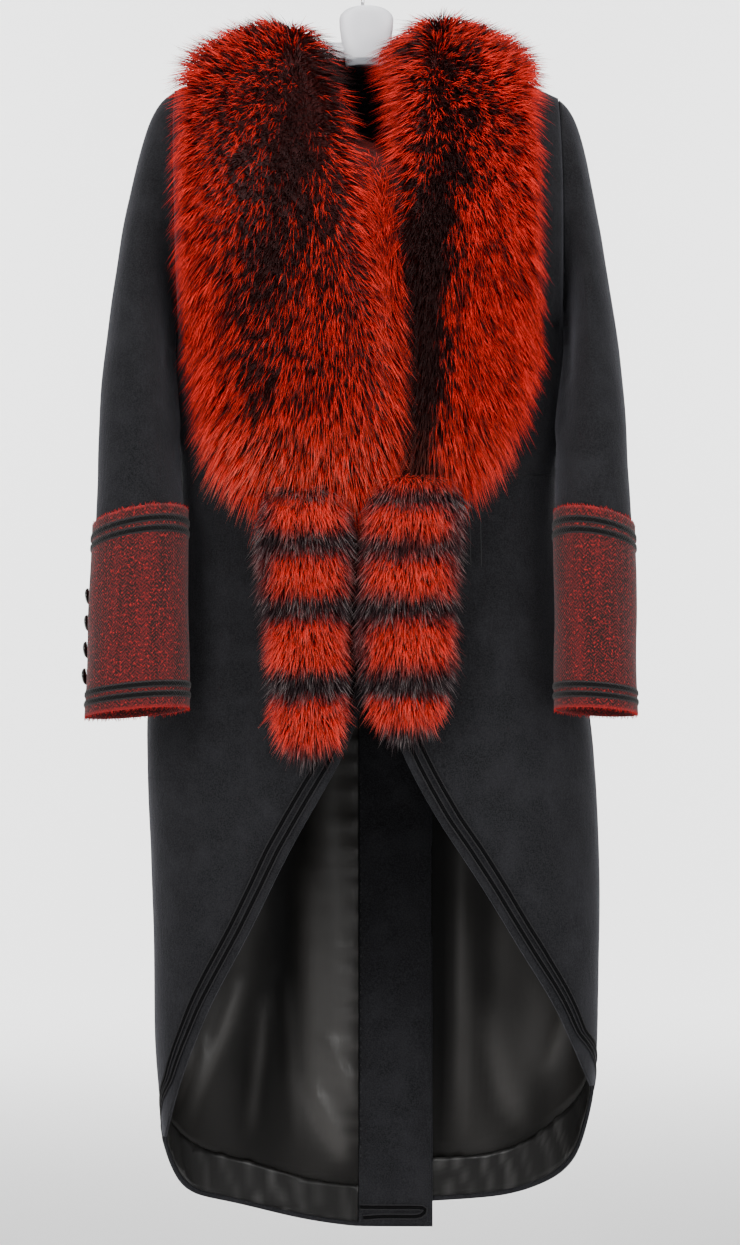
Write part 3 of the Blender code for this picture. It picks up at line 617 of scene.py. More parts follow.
def panel_depth(points, name):
    """How far a panel's folds draw it in at each point. What lies on the panel follows it."""
    depth = -PANEL_WAVER * waver(points * np.array([1, 0, 1]), WAVER_SIZE, len(name))
    for start, end, width, deep in PANEL_FOLDS[name]:
        start = (start[0], 0, start[1])
        end = (end[0], 0, end[1])
        depth = depth + crease(points, start, end, width, deep, (1, 0, 1))
    return depth


def follow(points, name):
    """The points, moved as the folds of the panel they lie on move it."""
    return points - body_outward(points) * panel_depth(points, name)[:, None]


FRONT_SEAM = 0.003
SIDE_SEAM = 0.006
SEAM_REACH = 0.0005
VENT_START = -0.745


def seams_closed(points):
    """The points, with the edges that are sewn or butted to each other drawn together."""
    closed = points.copy()
    side = np.abs(points[:, 1] - SIDE_SEAM) < SEAM_REACH
    closed[side, 1] = SIDE_SEAM
    front = (np.abs(points[:, 0] - FRONT_SEAM) < SEAM_REACH) & (points[:, 1] < 0)
    closed[front, 0] = FRONT_SEAM
    back = (np.abs(points[:, 0]) < SEAM_REACH) & (points[:, 1] > 0) & (points[:, 2] > VENT_START)
    closed[back, 0] = 0
    return closed


def underarm(points):
    """1 where the sleeve rests against the body below the armhole, falling to 0 around it."""
    return smooth(-points[:, 2], 0.348, 0.364) * (1 - smooth(-points[:, 2], 0.46, 0.51))


BODY_PRESS = 0.0015
SLEEVE_PRESS = 0.0044


def shape_panel(mesh, name):
    points = seams_closed(points_of(mesh))
    near_side = smooth(np.abs(points[:, 0]), 0.165, 0.18)
    points[:, 0] += np.sign(points[:, 0]) * BODY_PRESS * underarm(points) * near_side
    set_points(mesh, follow(points, name))


def shape_sleeve(mesh, side):
    points = points_of(mesh)
    rows = np.round(points[:, 2] / 0.02).astype(int)
    middle = np.zeros_like(points)
    for row in np.unique(rows):
        near = np.abs(points[:, 2] - row * 0.02) < 0.03
        middle[rows == row] = points[near].mean(axis=0)
    away = points - middle
    away[:, 2] = 0
    away = unit(away)
    depth = -PANEL_WAVER * waver(points, 0.11, 3)
    for start, end, width, deep in SLEEVE_FOLDS[side]:
        depth = depth + crease(points, start, end, width, deep)
    fade = smooth(-points[:, 2], 0.16, 0.24) * (1 - smooth(-points[:, 2], 0.50, 0.54))
    inner = smooth(-SIGN[side] * away[:, 0], 0.3, 0.9)
    shaped = points - away * (depth * fade)[:, None]
    shaped[:, 0] -= SIGN[side] * SLEEVE_PRESS * underarm(points) * inner
    set_points(mesh, shaped)


# Ridges of the satin, which hangs a little loose, in millimetres.
LINING_FOLDS = {
    "left": [
        ((-38, -690), (-36, -1165), 24, 9.0),
        ((-62, -900), (-58, -1150), 12, 4.0),
        ((-122, -850), (-132, -1060), 26, 4.0),
        ((-130, -1010), (-176, -1130), 9, 5.0),
        ((-168, -1062), (-190, -1120), 8, 4.5),
        ((-104, -1030), (-118, -1150), 10, 4.5),
        ((-62, -1105), (-26, -1176), 9, 5.0),
        ((-44, -1060), (-16, -1120), 7, 3.5),
        ((-84, -1000), (-72, -1160), 7, 3.0),
    ],
    "right": [
        ((90, -850), (92, -1150), 9, 5.0),
        ((134, -880), (126, -1140), 22, 4.0),
        ((168, -1000), (150, -1130), 18, 4.0),
        ((197, -1015), (176, -1090), 9, 4.5),
        ((112, -1040), (152, -1150), 14, 3.0),
    ],
}
# Where the satin falls back into shadow: ends, width and how dark.
SATIN_VALLEYS = {
    "left": [
        ((-88, -780), (-86, -1080), 17, 1.1),
        ((-140, -930), (-130, -1000), 22, 0.5),
    ],
    "right": [
        ((66, -790), (68, -1165), 10, 1.15),
        ((116, -900), (118, -1130), 12, 0.6),
        ((180, -960), (176, -1010), 14, 0.5),
    ],
}
LINING_FINENESS = {"left": 3, "right": 2}
FACING_FINENESS = 2
PUCKER_COUNT = 17
PUCKER_TOP = -0.77
PUCKER_STEP = 0.0248
PUCKER_REACH = 0.02
STRIP_EDGE = -0.0115


def shape_lining(mesh, side):
    points = follow(points_of(mesh), "back_" + side)
    away = body_outward(points)
    lift = 0.0004 * (1 + waver(points, 0.09, 5))
    for start, end, width, deep in LINING_FOLDS[side]:
        lift = lift + crease(points, (start[0], 0, start[1]), (end[0], 0, end[1]), width, deep, (1, 0, 1))
    if side == "left":
        for k in range(PUCKER_COUNT):
            height = PUCKER_TOP - PUCKER_STEP * (k + 0.25 * math.sin(5.0 * k))
            near = np.exp(-(((points[:, 2] - height) / 0.0045) ** 2))
            reach = np.exp(-np.abs(points[:, 0] - STRIP_EDGE) / PUCKER_REACH)
            lift = lift + 0.0024 * near * reach
    seam = 1 - smooth(-points[:, 2], 1.16, 1.19) * 0.4
    # Painted shade on the satin's colour: a broad uneven shading, darkened further along the valleys; the
    # raised folds are painted lighter as painted highlight.
    shade = 0.26 + 0.2 * waver(points * np.array([1.4, 1, 0.3]), 0.16, 7)
    for start, end, width, deep in SATIN_VALLEYS[side]:
        valley = crease(points, (start[0], 0, start[1]), (end[0], 0, end[1]), width, deep, (1, 0, 1))
        shade = shade * (1 - np.clip(valley / MM, 0, 1))
    set_attribute(mesh, "painted_fold_light", np.clip(shade + 0.72 * smooth(lift, 0.001, 0.009), 0, 1))
    set_points(mesh, points - away * (lift * seam)[:, None])


PLEAT = 0.021
PLEAT_LIFT = 0.0022


def shape_facing(mesh, side):
    """The hem's facing is a little too long for the curve it follows, so it puckers; its colour is painted
    lighter on the puckers' ridges, as painted highlight.
    """
    points = follow(points_of(mesh), "back_" + side)
    run = points[:, 0] + 0.25 * points[:, 2] + 0.004 * waver(points, 0.06, 9)
    wave = np.maximum(np.sin(run * 2 * np.pi / PLEAT), 0) ** 2
    wave *= 0.35 + 0.65 * smooth(waver(points, 0.11, 3), -0.4, 0.6)
    # Painted highlight: the satin's colour lightens where the puckers rise.
    set_attribute(mesh, "painted_fold_light", 0.4 + wave * 0.6)
    set_points(mesh, points - body_outward(points) * (PLEAT_LIFT * wave)[:, None])


def tube_place(side, table, at):
    """The middle, long and wide half axes of a cuff's ring, in metres."""
    values = [np.interp(at, [row[0] for row in table], [row[k] for row in table]) for k in range(1, 8)]
    out_x, out_drop, in_x, in_drop, y, depth, pitch = np.array(values) * MM
    far = np.array([SIGN[side] * out_x, 0, -out_drop])
    near = np.array([SIGN[side] * in_x, 0, -in_drop])
    middle = (far + near) / 2 + np.array([0, y, 0])
    return middle, (far - near) / 2, np.array([0, depth, -pitch])


# The cuffs' rings by the distance from the top edge, in millimetres: outer and inner end of the
# ring across the front, its middle's y, half depth and pitch.
CUFFS = {
    "left": [
        (0, 262.5, 562, 171.5, 546, -71, 53, 11),
        (44, 263.5, 606, 171, 594, -84, 50, 9),
        (104, 265, 666, 170, 656, -95, 48, 7),
        (179, 268, 741, 169, 732, -104, 46, 5),
    ],
    "right": [
        (0, 250.5, 562, 173, 548, -71, 53, 11),
        (44, 251, 606, 172.5, 596, -84, 50, 9),
        (104, 250, 668, 173, 658, -95, 48, 7),
        (179, 251.5, 738, 172.5, 733, -104, 46, 5),
    ],
}
CUFF_LENGTH = 179
CUFF_WALL = 2.2
CUFF_AROUND = 72
VELVET_ROWS = (11.5, 20.5, 158, 167)
VELVET_HALF = 1.55
BRAID_HALF = 3.05
VELVET_RISE = 1.2
BRAID_RISE = 0.5
FRAY_REACH = 3.0


def cuff_stations():
    """Distances from the top edge, close together at the velvet."""
    stations = {float(v) for v in np.linspace(0, CUFF_LENGTH, 60)}
    for row in VELVET_ROWS:
        stations |= {row + step for step in (-3.4, -3.0, -1.9, -1.5, -0.7, 0.7, 1.5, 1.9, 3.0, 3.4)}
    return sorted(stations)


def cuff_mesh(side):
    """The cuff's wall, with a UV map that runs around and along it in metres."""
    table = CUFFS[side]
    turns = [SIGN[side] * 2 * math.pi * k / CUFF_AROUND for k in range(CUFF_AROUND)]
    stations = cuff_stations()
    outer, inner = [], []
    for at in stations:
        middle, long, wide = tube_place(side, table, at)
        off = min(abs(at - row) for row in VELVET_ROWS)
        rise = VELVET_RISE if off < VELVET_HALF else BRAID_RISE if off < BRAID_HALF else 0
        ring_out, ring_in = [], []
        for turn in turns:
            out = long * math.cos(turn) + wide * math.sin(turn)
            soft = 0.5 * math.sin(3 * turn + at * 0.03) + 0.4 * math.sin(5 * turn - at * 0.05)
            grow = (rise + soft * math.sin(math.pi * at / CUFF_LENGTH)) * MM
            ring_out.append(middle + out * (1 + grow / np.linalg.norm(out)))
            ring_in.append(middle + out * (1 + (grow - (rise + CUFF_WALL) * MM) / np.linalg.norm(out)))
        outer.append(ring_out)
        inner.append(ring_in)
    rows = outer + inner[::-1] + [outer[0]]
    mesh = grid_mesh("cuff", rows, closed=True)
    heights = stations + stations[::-1] + [0.0]
    across = np.linalg.norm(np.diff(np.array(outer[30] + outer[30][:1]), axis=0), axis=1)
    run = np.concatenate([[0], np.cumsum(across)])
    layer = mesh.uv_layers.new(name="weave")
    for face in mesh.polygons:
        for corner, loop in enumerate(face.loop_indices):
            index = mesh.loops[loop].vertex_index
            row, column = divmod(index, CUFF_AROUND)
            at = run[column]
            if column == 0 and corner in (1, 2):
                at = run[-1]
            layer.data[loop].uv = (at, heights[row] * MM)
    level = np.repeat(np.array(heights), CUFF_AROUND)
    off = np.min(np.abs(level[:, None] - np.array(VELVET_ROWS)[None]), axis=1)
    outside = np.repeat(np.arange(len(rows)) < len(stations), CUFF_AROUND)
    edge = np.minimum(level, CUFF_LENGTH - level)
    for name, values in (
        ("velvet", (off < VELVET_HALF) & outside),
        ("braid", (off < BRAID_HALF) & outside),
        ("frayed", (1 - smooth(edge, 0.8, FRAY_REACH)) * np.where(outside, 1, 0.25)),
    ):
        made = mesh.attributes.new(name, "FLOAT", "POINT")
        made.data.foreach_set("value", values.astype(np.float32))
    shell = bmesh.new()
    shell.from_mesh(mesh)
    bmesh.ops.remove_doubles(shell, verts=shell.verts, dist=1e-6)
    bmesh.ops.recalc_face_normals(shell, faces=shell.faces)
    shell.to_mesh(mesh)
    shell.free()
    return mesh


# Yarn ends that stand out of a cuff's cut edges, in millimetres.
FRAY_COUNT = 260
FRAY_LONG = (1.8, 5.0)
FRAY_RADIUS = 0.42
SPIKE_FACES = ((0, 1, 4, 3), (1, 2, 5, 4), (2, 0, 3, 5), (3, 4, 6), (4, 5, 6), (5, 3, 6), (2, 1, 0))


def fray_mesh(side):
    """The loose yarn ends around both edges of a cuff, each a bent spike."""
    chance = np.random.default_rng(7 + SIGN[side])
    points, faces = [], []
    for at, way in ((0, -1), (CUFF_LENGTH, 1)):
        middle, long, wide = tube_place(side, CUFFS[side], at)
        further = tube_place(side, CUFFS[side], at - 20 * way)[0]
        axis = unit(middle - further)
        for k in range(FRAY_COUNT):
            turn = 2 * math.pi * (k + chance.random()) / FRAY_COUNT
            out = long * math.cos(turn) + wide * math.sin(turn)
            radial = unit(out)
            tangent = unit(np.cross(axis, radial))
            root = middle + out - (radial * chance.uniform(0.2, CUFF_WALL - 0.2) + axis * 1.2) * MM
            lean = tangent * chance.normal(0, 0.55) + radial * chance.normal(0.12, 0.25)
            reach = chance.uniform(*FRAY_LONG) * MM
            first = len(points)
            for share, size in ((0, 1.0), (0.5, 0.8)):
                centre = root + (axis + lean * share) * reach * share
                for corner in range(3):
                    angle = corner * 2 * math.pi / 3
                    offset = tangent * math.cos(angle) + radial * math.sin(angle)
                    points.append(tuple(centre + offset * size * FRAY_RADIUS * MM))
            points.append(tuple(root + (axis + lean) * reach))
            faces += [
                tuple(first + v for v in face)
                for face in SPIKE_FACES
            ]
    mesh = bpy.data.meshes.new("fray")
    mesh.from_pydata(points, [], faces)
    return facing_out(mesh)


# Ribbon


def rings_of(node):
    """The rings of a capped tube, found by walking from one end to the other."""
    shell = bmesh.new()
    shell.from_mesh(frame_mesh(node))
    bmesh.ops.remove_doubles(shell, verts=shell.verts, dist=1e-5)
    caps = [v for v in shell.verts if len(v.link_edges) == 4]
    start = min(caps, key=lambda v: min(e.calc_length() for e in v.link_edges))
    seen = {start}
    layer = [start]
    rings = []
    while True:
        layer = {e.other_vert(v) for v in layer for e in v.link_edges} - seen
        if len(layer) < 4:
            break
        seen |= layer
        rings.append(np.array([v.co for v in layer]))
    shell.free()
    return rings


def ribbon_frames(rings):
    """The middle, the way ahead and the sideways direction at each ring of a ribbon."""
    middles = np.array([ring.mean(axis=0) for ring in rings])
    frames = []
    for i, ring in enumerate(rings):
        ahead = unit(middles[min(i + 1, len(middles) - 1)] - middles[max(i - 1, 0)])
        spread = ring - middles[i]
        spread -= np.outer(spread @ ahead, ahead)
        across = np.linalg.eigh(spread.T @ spread)[1][:, 2]
        frames.append((middles[i], ahead, unit(across)))
    return frames


UNDERLAP_EDGE = 0.0545
TURN_SINK = 0.0014
RIBBON_HALF = 1.8
RIBBON_PILE = 0.75
CORD_RADIUS = 0.55
CORD_SINK = 0.15
RIBBON_STEP = 0.005


def sweep(name, path, ups, profile):
    """A closed tube: profile, in millimetres as (sideways, up), carried along a path."""
    rows = []
    for i, point in enumerate(path):
        ahead = unit(path[min(i + 1, len(path) - 1)] - path[max(i - 1, 0)])
        side = unit(np.cross(ahead, ups[i]))
        rows.append([point + (side * a + ups[i] * b) * MM for a, b in profile])
    return facing_out(grid_mesh(name, rows, closed=True, capped=True))


def refined(path, ups):
    """The path with points a few millimetres apart, and its outward directions."""
    length = np.concatenate([[0], np.cumsum(np.linalg.norm(np.diff(path, axis=0), axis=1))])
    places = np.linspace(0, length[-1], max(8, int(length[-1] / RIBBON_STEP)))
    fine = np.array([np.interp(places, length, path[:, k]) for k in range(3)]).T
    out = np.array([np.interp(places, length, ups[:, k]) for k in range(3)]).T
    for _ in range(2):
        fine[1:-1] = (fine[:-2] + 2 * fine[1:-1] + fine[2:]) / 4
    return fine, unit(out)


def ribbon_meshes(node, inward=False):
    """The velvet band of a ribbon and the two fine cords beside it."""
    frames = ribbon_frames(rings_of(node))
    path = np.array([f[0] for f in frames])
    away = body_outward(path) * (-1 if inward else 1)
    ups = []
    for (_, ahead, across), out in zip(frames, away):
        up = unit(np.cross(ahead, across))
        ups.append(up if up @ out > 0 else -up)
    path, ups = refined(path, np.array(ups))
    side = "right" if node.endswith("right") else "left"
    if node == "ribbon_left":
        behind = (path[:, 1] > 0.02) & (path[:, 0] > 0)
        path[behind, 0] = np.minimum(path[behind, 0], UNDERLAP_EDGE)
    turn = smooth(np.abs(path[:, 0]), 0.19, 0.21) * (1 - smooth(np.abs(path[:, 1] - SIDE_SEAM), 0.02, 0.04))
    path[:, 0] -= np.sign(path[:, 0]) * TURN_SINK * turn
    on_front = path[:, 1] < SIDE_SEAM
    path = np.where(on_front[:, None], follow(path, "front_" + side), follow(path, "back_" + side))
    dome = [
        (RIBBON_HALF * math.cos(t), -0.5 + (RIBBON_PILE + 0.5) * max(math.sin(t), 0) ** 0.6)
        for t in np.linspace(0, math.pi, 9)
    ]
    velvet = sweep("velvet", path, ups, dome)
    cords = []
    for beside in (-1, 1):
        middle = beside * (RIBBON_HALF + CORD_RADIUS)
        outline = [
            (middle + CORD_RADIUS * math.cos(t), CORD_RADIUS * math.sin(t) - CORD_SINK) for t in circle(6)
        ]
        cords.append(sweep("cord", path, ups, outline))
    return velvet, join_meshes("cords", cords)


# Fur


STRAND_STEPS = (0.0, 0.45)


def strand_object(width, arch):
    """One hair: a thin three-sided spike of unit length, arched towards +X."""
    points, faces, along = [], [], []
    for share in STRAND_STEPS:
        radius = width / 2 * (1 - share) ** 0.6
        shift = arch * 4 * share * (1 - share)
        for k in range(3):
            turn = 2 * math.pi * k / 3
            points.append((shift + radius * math.cos(turn), radius * math.sin(turn), share))
            along.append(share)
    points.append((0, 0, 1))
    along.append(1.0)
    last = len(points) - 1
    for i in range(len(STRAND_STEPS) - 1):
        for k in range(3):
            n = (k + 1) % 3
            faces.append((3 * i + k, 3 * i + n, 3 * i + 3 + n, 3 * i + 3 + k))
    top = 3 * (len(STRAND_STEPS) - 1)
    faces += [(top + k, top + (k + 1) % 3, last) for k in range(3)]
    faces.append((2, 1, 0))
    mesh = bpy.data.meshes.new("strand")
    mesh.from_pydata(points, [], faces)
    made = mesh.attributes.new("along", "FLOAT", "POINT")
    made.data.foreach_set("value", np.array(along, np.float32))
    strand = bpy.data.objects.new("strand", mesh)
    bpy.context.scene.collection.objects.link(strand)
    return strand


HAIR_INPUTS = (
    ("Strand", "NodeSocketObject", None),
    ("Material", "NodeSocketMaterial", None),
    ("Density", "NodeSocketFloat", 100000.0),
    ("Clump Size", "NodeSocketFloat", 0.008),
    ("Clump Pull", "NodeSocketFloat", 0.7),
    ("Stray", "NodeSocketFloat", 0.2),
    ("Seed", "NodeSocketInt", 1),
)
LENGTH_CHANCE = (0.72, 1.2)
STRAY_REACH = 0.03
TONE_CHANCE = 0.35
TONE_SEED = 77


def scaled(tree, vector, factor):
    return add(
        tree, "ShaderNodeVectorMath", {"operation": "SCALE"}, {0: vector, "Scale": factor}
    ).outputs[0]


def joined(tree, operation, first, second):
    return add(tree, "ShaderNodeVectorMath", {"operation": operation}, {0: first, 1: second}).outputs[0]


def hair_tip(tree, given, place, cells):
    """From root to tip: the combed direction, drawn towards the lock's middle, with some straying."""
    comb = add(tree, "GeometryNodeInputNamedAttribute", {"data_type": "FLOAT_VECTOR"}, {"Name": "comb"})
    chance = add(
        tree, "FunctionNodeRandomValue", {"data_type": "FLOAT"},
        {2: LENGTH_CHANCE[0], 3: LENGTH_CHANCE[1], "Seed": given["Seed"]},
    )
    stray = add(
        tree, "FunctionNodeRandomValue", {"data_type": "FLOAT_VECTOR"},
        {0: (-STRAY_REACH,) * 3, 1: (STRAY_REACH,) * 3, "Seed": given["Seed"]},
    )
    combed = scaled(tree, comb.outputs[0], chance.outputs[1])
    to_middle = joined(tree, "SUBTRACT", cells.outputs["Position"], place)
    drawn = joined(tree, "ADD", combed, scaled(tree, to_middle, given["Clump Pull"]))
    return joined(tree, "ADD", drawn, scaled(tree, stray.outputs[0], given["Stray"]))


def hair_tone(tree, cells):
    """A tone for each lock, a little different from hair to hair."""
    lock = add(tree, "ShaderNodeSeparateXYZ", None, {0: cells.outputs["Color"]})
    own = add(
        tree, "FunctionNodeRandomValue", {"data_type": "FLOAT"},
        {2: -TONE_CHANCE, 3: TONE_CHANCE, "Seed": TONE_SEED},
    )
    return add(
        tree, "ShaderNodeMath", {"operation": "ADD", "use_clamp": True},
        {0: lock.outputs[0], 1: own.outputs[1]},
    ).outputs[0]


def hair_tree():
    """Geometry nodes that set combed, clumped hairs on a hide."""
    tree = bpy.data.node_groups.new("combed hair", "GeometryNodeTree")
    face = tree.interface
    face.new_socket("Geometry", in_out="INPUT", socket_type="NodeSocketGeometry")
    face.new_socket("Geometry", in_out="OUTPUT", socket_type="NodeSocketGeometry")
    for name, kind, value in HAIR_INPUTS:
        socket = face.new_socket(name, in_out="INPUT", socket_type=kind)
        if value is not None:
            socket.default_value = value
    given = add(tree, "NodeGroupInput").outputs
    grow = add(tree, "GeometryNodeInputNamedAttribute", {"data_type": "FLOAT"}, {"Name": "grow"})
    density = calculate(tree, "MULTIPLY", given["Density"], grow.outputs[0])
    roots = add(
        tree, "GeometryNodeDistributePointsOnFaces", None,
        {"Mesh": given["Geometry"], "Density": density, "Seed": given["Seed"]},
    )
    place = add(tree, "GeometryNodeInputPosition").outputs[0]
    scale = calculate(tree, "DIVIDE", 1.0, given["Clump Size"])
    cells = add(tree, "ShaderNodeTexVoronoi", None, {"Vector": place, "Scale": scale})
    tip = hair_tip(tree, given, place, cells)
    length = add(tree, "ShaderNodeVectorMath", {"operation": "LENGTH"}, {0: tip})
    stand = add(tree, "FunctionNodeAlignRotationToVector", {"axis": "Z"}, {"Vector": tip})
    turned = add(
        tree, "FunctionNodeAlignRotationToVector", {"axis": "X", "pivot_axis": "Z"},
        {"Rotation": stand.outputs[0], "Vector": (0, 0, 1)},
    )
    size = add(tree, "ShaderNodeCombineXYZ", None, {0: 1.0, 1: 1.0, 2: length.outputs["Value"]})
    strand = add(tree, "GeometryNodeObjectInfo", None, {"Object": given["Strand"]})
    toned = add(
        tree, "GeometryNodeStoreNamedAttribute", {"data_type": "FLOAT", "domain": "POINT"},
        {"Geometry": roots.outputs["Points"], "Name": "tone", "Value": hair_tone(tree, cells)},
    )
    hairs = add(
        tree, "GeometryNodeInstanceOnPoints", None,
        {
            "Points": toned.outputs[0], "Instance": strand.outputs["Geometry"],
            "Rotation": turned.outputs[0], "Scale": size.outputs[0],
        },
    )
    real = add(tree, "GeometryNodeRealizeInstances", None, {"Geometry": hairs.outputs[0]})
    done = add(
        tree, "GeometryNodeSetMaterial", None,
        {"Geometry": real.outputs[0], "Material": given["Material"]},
    )
    out = add(tree, "NodeGroupOutput")
    tree.links.new(done.outputs[0], out.inputs[0])
    return tree


def grown(hide, tree, material, strand, count, clump, pull, stray, seed):
    """The hide's hairs as one plain mesh. count is about how many."""
    area = 0.0
    grow = np.empty(len(hide.vertices), np.float32)
    hide.attributes["grow"].data.foreach_get("value", grow)
    for face in hide.polygons:
        area += face.area * float(np.mean(grow[list(face.vertices)]))
    holder = bpy.data.objects.new("hide", hide.copy())
    bpy.context.scene.collection.objects.link(holder)
    modifier = holder.modifiers.new("hair", "NODES")
    modifier.node_group = tree
    values = {
        "Strand": strand, "Material": material, "Density": count / area, "Clump Size": clump,
        "Clump Pull": pull, "Stray": stray, "Seed": seed,
    }
    for item in tree.interface.items_tree:
        if item.in_out == "INPUT" and item.name in values:
            modifier[item.identifier] = values[item.name]
    return evaluated_mesh(holder)


# How strongly hairs are drawn into locks, and how much they stray, on the collar and the tails.
COLLAR_LIE = (0.6, 0.18)
COLLAR_SEED = 11
TAIL_LIE = (0.35, 0.2)
TAIL_CLUMP = 0.6
TAIL_SEED = 31

# The lapels' middle lines, and the dark streak down each, in millimetres by drop.
LAPEL_DROPS = (60, 100, 150, 210, 280, 360, 440, 490, 545)
LAPELS = {
    "left": {
        "middle": (-85, -92, -94, -90, -82, -76, -72, -66, -58),
        "streak": (-48, -54, -62, -70, -86, -99, -102, -90, -70),
        "reach": (34, 36, 40, 42, 36, 28, 24, 22, 14),
        "depth": (0.6, 0.7, 0.9, 1.05, 0.9, 0.8, 0.68, 0.35, 0.05),
        "wash": (0.55, 0.5, 0.46, 0.48, 0.44, 0.36, 0.28, 0.12, 0.0),
    },
    "right": {
        "middle": (75, 80, 84, 88, 94, 94, 88, 80, 68),
        "streak": (56, 78, 84, 72, 58, 50, 48, 48, 50),
        "reach": (26, 34, 36, 32, 28, 26, 24, 22, 18),
        "depth": (0.4, 0.6, 0.65, 0.8, 1.15, 1.3, 1.2, 0.9, 0.5),
        "wash": (0.45, 0.4, 0.3, 0.16, 0.1, 0.08, 0.08, 0.08, 0.1),
    },
}
HIDE_SHARE = 0.45
HIDE_INSET = 0.013
PILE = 0.031
BACK_SHORTER = 0.008
BACK_SPLIT = 0.005


def collar_hide(side):
    """The skin under a collar half's pile, with how the hair lies and its colours."""
    mesh = fine_copy("fur_" + side, 1)
    points = points_of(mesh)
    normals = normals_of(mesh)
    coat = bmesh.new()
    for node in ("front_left", "front_right", "back_left", "back_right"):
        coat.from_mesh(frame_mesh(node))
    tree = BVHTree.FromBMesh(coat)
    near = np.array([tree.find_nearest(Vector(point))[0] for point in points])
    coat.free()
    away = points - near
    out = unit(away)
    lateral = normals - out * np.sum(normals * out, axis=1)[:, None]
    top = 1 - smooth(-points[:, 2], 0.09, 0.15)
    drop = -points[:, 2] / MM
    table = LAPELS[side]
    middle = np.interp(drop, LAPEL_DROPS, table["middle"]) * MM
    aside = np.clip((points[:, 0] - middle) / 0.085, -1.2, 1.2)
    inward = smooth(-SIGN[side] * aside, 0.1, 0.6)
    front = 1 - smooth(points[:, 1], -0.03, 0.02)
    flank = smooth(np.abs(out[:, 0]), 0.25, 0.75) * (1 - inward)
    hide = near + away * (HIDE_SHARE + 0.3 * top + 0.15 * flank * front * (1 - top))[:, None] + out * MM
    hide -= lateral * (HIDE_INSET * (1 - 0.85 * top) * (1 - 0.5 * inward * front))[:, None]
    set_points(mesh, hide)

    edge = smooth(np.linalg.norm(lateral, axis=1), 0.3, 0.9)
    flow = np.stack([aside * 0.25 * front, hide[:, 1] * 6 * (1 - front), -np.ones(len(hide))], 1)
    flow -= out * np.sum(flow * out, axis=1)[:, None]
    flow = unit(unit(flow) + unit(lateral) * (edge * (0.24 + 0.4 * top))[:, None])
    rise = np.radians((58 - 36 * np.maximum(edge, flank)) * (0.45 + 0.55 * front))[:, None]
    comb = unit(flow * np.cos(rise) + unit(out + normals * 0.35) * np.sin(rise))
    collar = (top * inward)[:, None]
    to_neck = np.array([-SIGN[side] * 0.85, -0.25, -0.35])
    comb = unit(comb * (1 - collar) + to_neck * collar)
    low = smooth(drop, 400, 500)
    uneven = 1 + 0.3 * low - 0.15 * top + 0.35 * collar[:, 0] + 0.08 * waver(hide, 0.05, 2)
    length = (PILE - BACK_SHORTER * (1 - front)) * uneven
    set_attribute(mesh, "comb", comb * length[:, None], "FLOAT_VECTOR")
    topside = smooth(np.sum(normals * out, axis=1), -0.55, -0.1)
    set_attribute(mesh, "grow", topside)

    reach = np.interp(drop, LAPEL_DROPS, table["reach"]) * MM
    streak = np.interp(drop, LAPEL_DROPS, table["streak"]) * MM
    depth = np.interp(drop, LAPEL_DROPS, table["depth"])
    off = (hide[:, 0] - streak) / reach
    wash = np.interp(drop, LAPEL_DROPS, table["wash"]) * (1 - smooth(np.abs(aside), 0.55, 0.95))
    dark = np.maximum(depth * np.exp(-(off**2)), wash)
    dark = np.where(hide[:, 1] > 0.0, 0.75 * np.exp(-(((drop - 115) / 26) ** 2)), dark)
    dark = dark + 0.12 * waver(hide, 0.07, 4)
    set_attribute(mesh, "dark", np.clip(dark + 0.06, 0, 1.4))
    inner = smooth(aside * -SIGN[side], 0.6, 1.0) * smooth(drop, 260, 420)
    pale = np.clip(smooth(drop, 430, 510) + inner * 0.4, 0, 1) * (1 if side == "left" else 0.35)
    set_attribute(mesh, "pale", pale)
    set_attribute(mesh, "band", np.zeros(len(points)))
    set_attribute(mesh, "along", np.zeros(len(points)))
    set_attribute(mesh, "tone", np.full(len(points), 0.3))
    return mesh


# The tails' red bands, in millimetres of drop.
TAIL_BANDS = {
    "left": ((544, 572), (595, 630), (655, 701), (731, 772)),
    "right": ((520, 536), (552, 579), (598, 631), (656, 698), (728, 752)),
}
BAND_EDGE = 4
ROOT_SHIFT = 12
TAIL_SHRINK = 0.009
TAIL_PILE = 0.021


def tail_hide(side):
    mesh = fine_copy("tail_" + side, 1)
    points = points_of(mesh)
    normals = normals_of(mesh)
    low, high = (np.array(v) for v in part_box("tail_" + side))
    hide = points - normals * TAIL_SHRINK
    length = high[2] - low[2]
    hide[:, 2] = high[2] + 0.012 - (high[2] - points[:, 2]) * (length - 0.006) / length
    set_points(mesh, hide)
    drop = -hide[:, 2] / MM
    level = normals * np.array([1, 1, 0.35])
    comb = unit(unit(level) * 0.7 + np.array([0, 0, -1.0]) * 0.7)
    size = TAIL_PILE * (1 + 0.08 * waver(hide, 0.04, 6))
    set_attribute(mesh, "comb", comb * size[:, None], "FLOAT_VECTOR")
    set_attribute(mesh, "grow", smooth(-normals[:, 1], -0.85, -0.5) * 0.8 + 0.2)
    red = np.zeros(len(points))
    place = drop + ROOT_SHIFT + 3 * waver(hide, 0.03, 8)
    for first, last in TAIL_BANDS[side]:
        red = np.maximum(red, smooth(place, first - BAND_EDGE, first + BAND_EDGE)
                         * (1 - smooth(place, last - BAND_EDGE, last + BAND_EDGE)))
    aside = np.abs(hide[:, 0] - hide[:, 0].mean()) / (np.ptp(hide[:, 0]) / 2)
    red *= 1 - 0.9 * smooth(aside, 0.6, 0.88)
    set_attribute(mesh, "band", 1 - red)
    set_attribute(mesh, "dark", np.full(len(points), 0.12))
    set_attribute(mesh, "pale", np.full(len(points), 0.7))
    set_attribute(mesh, "along", np.zeros(len(points)))
    set_attribute(mesh, "tone", np.full(len(points), 0.3))
    return mesh


# Settings


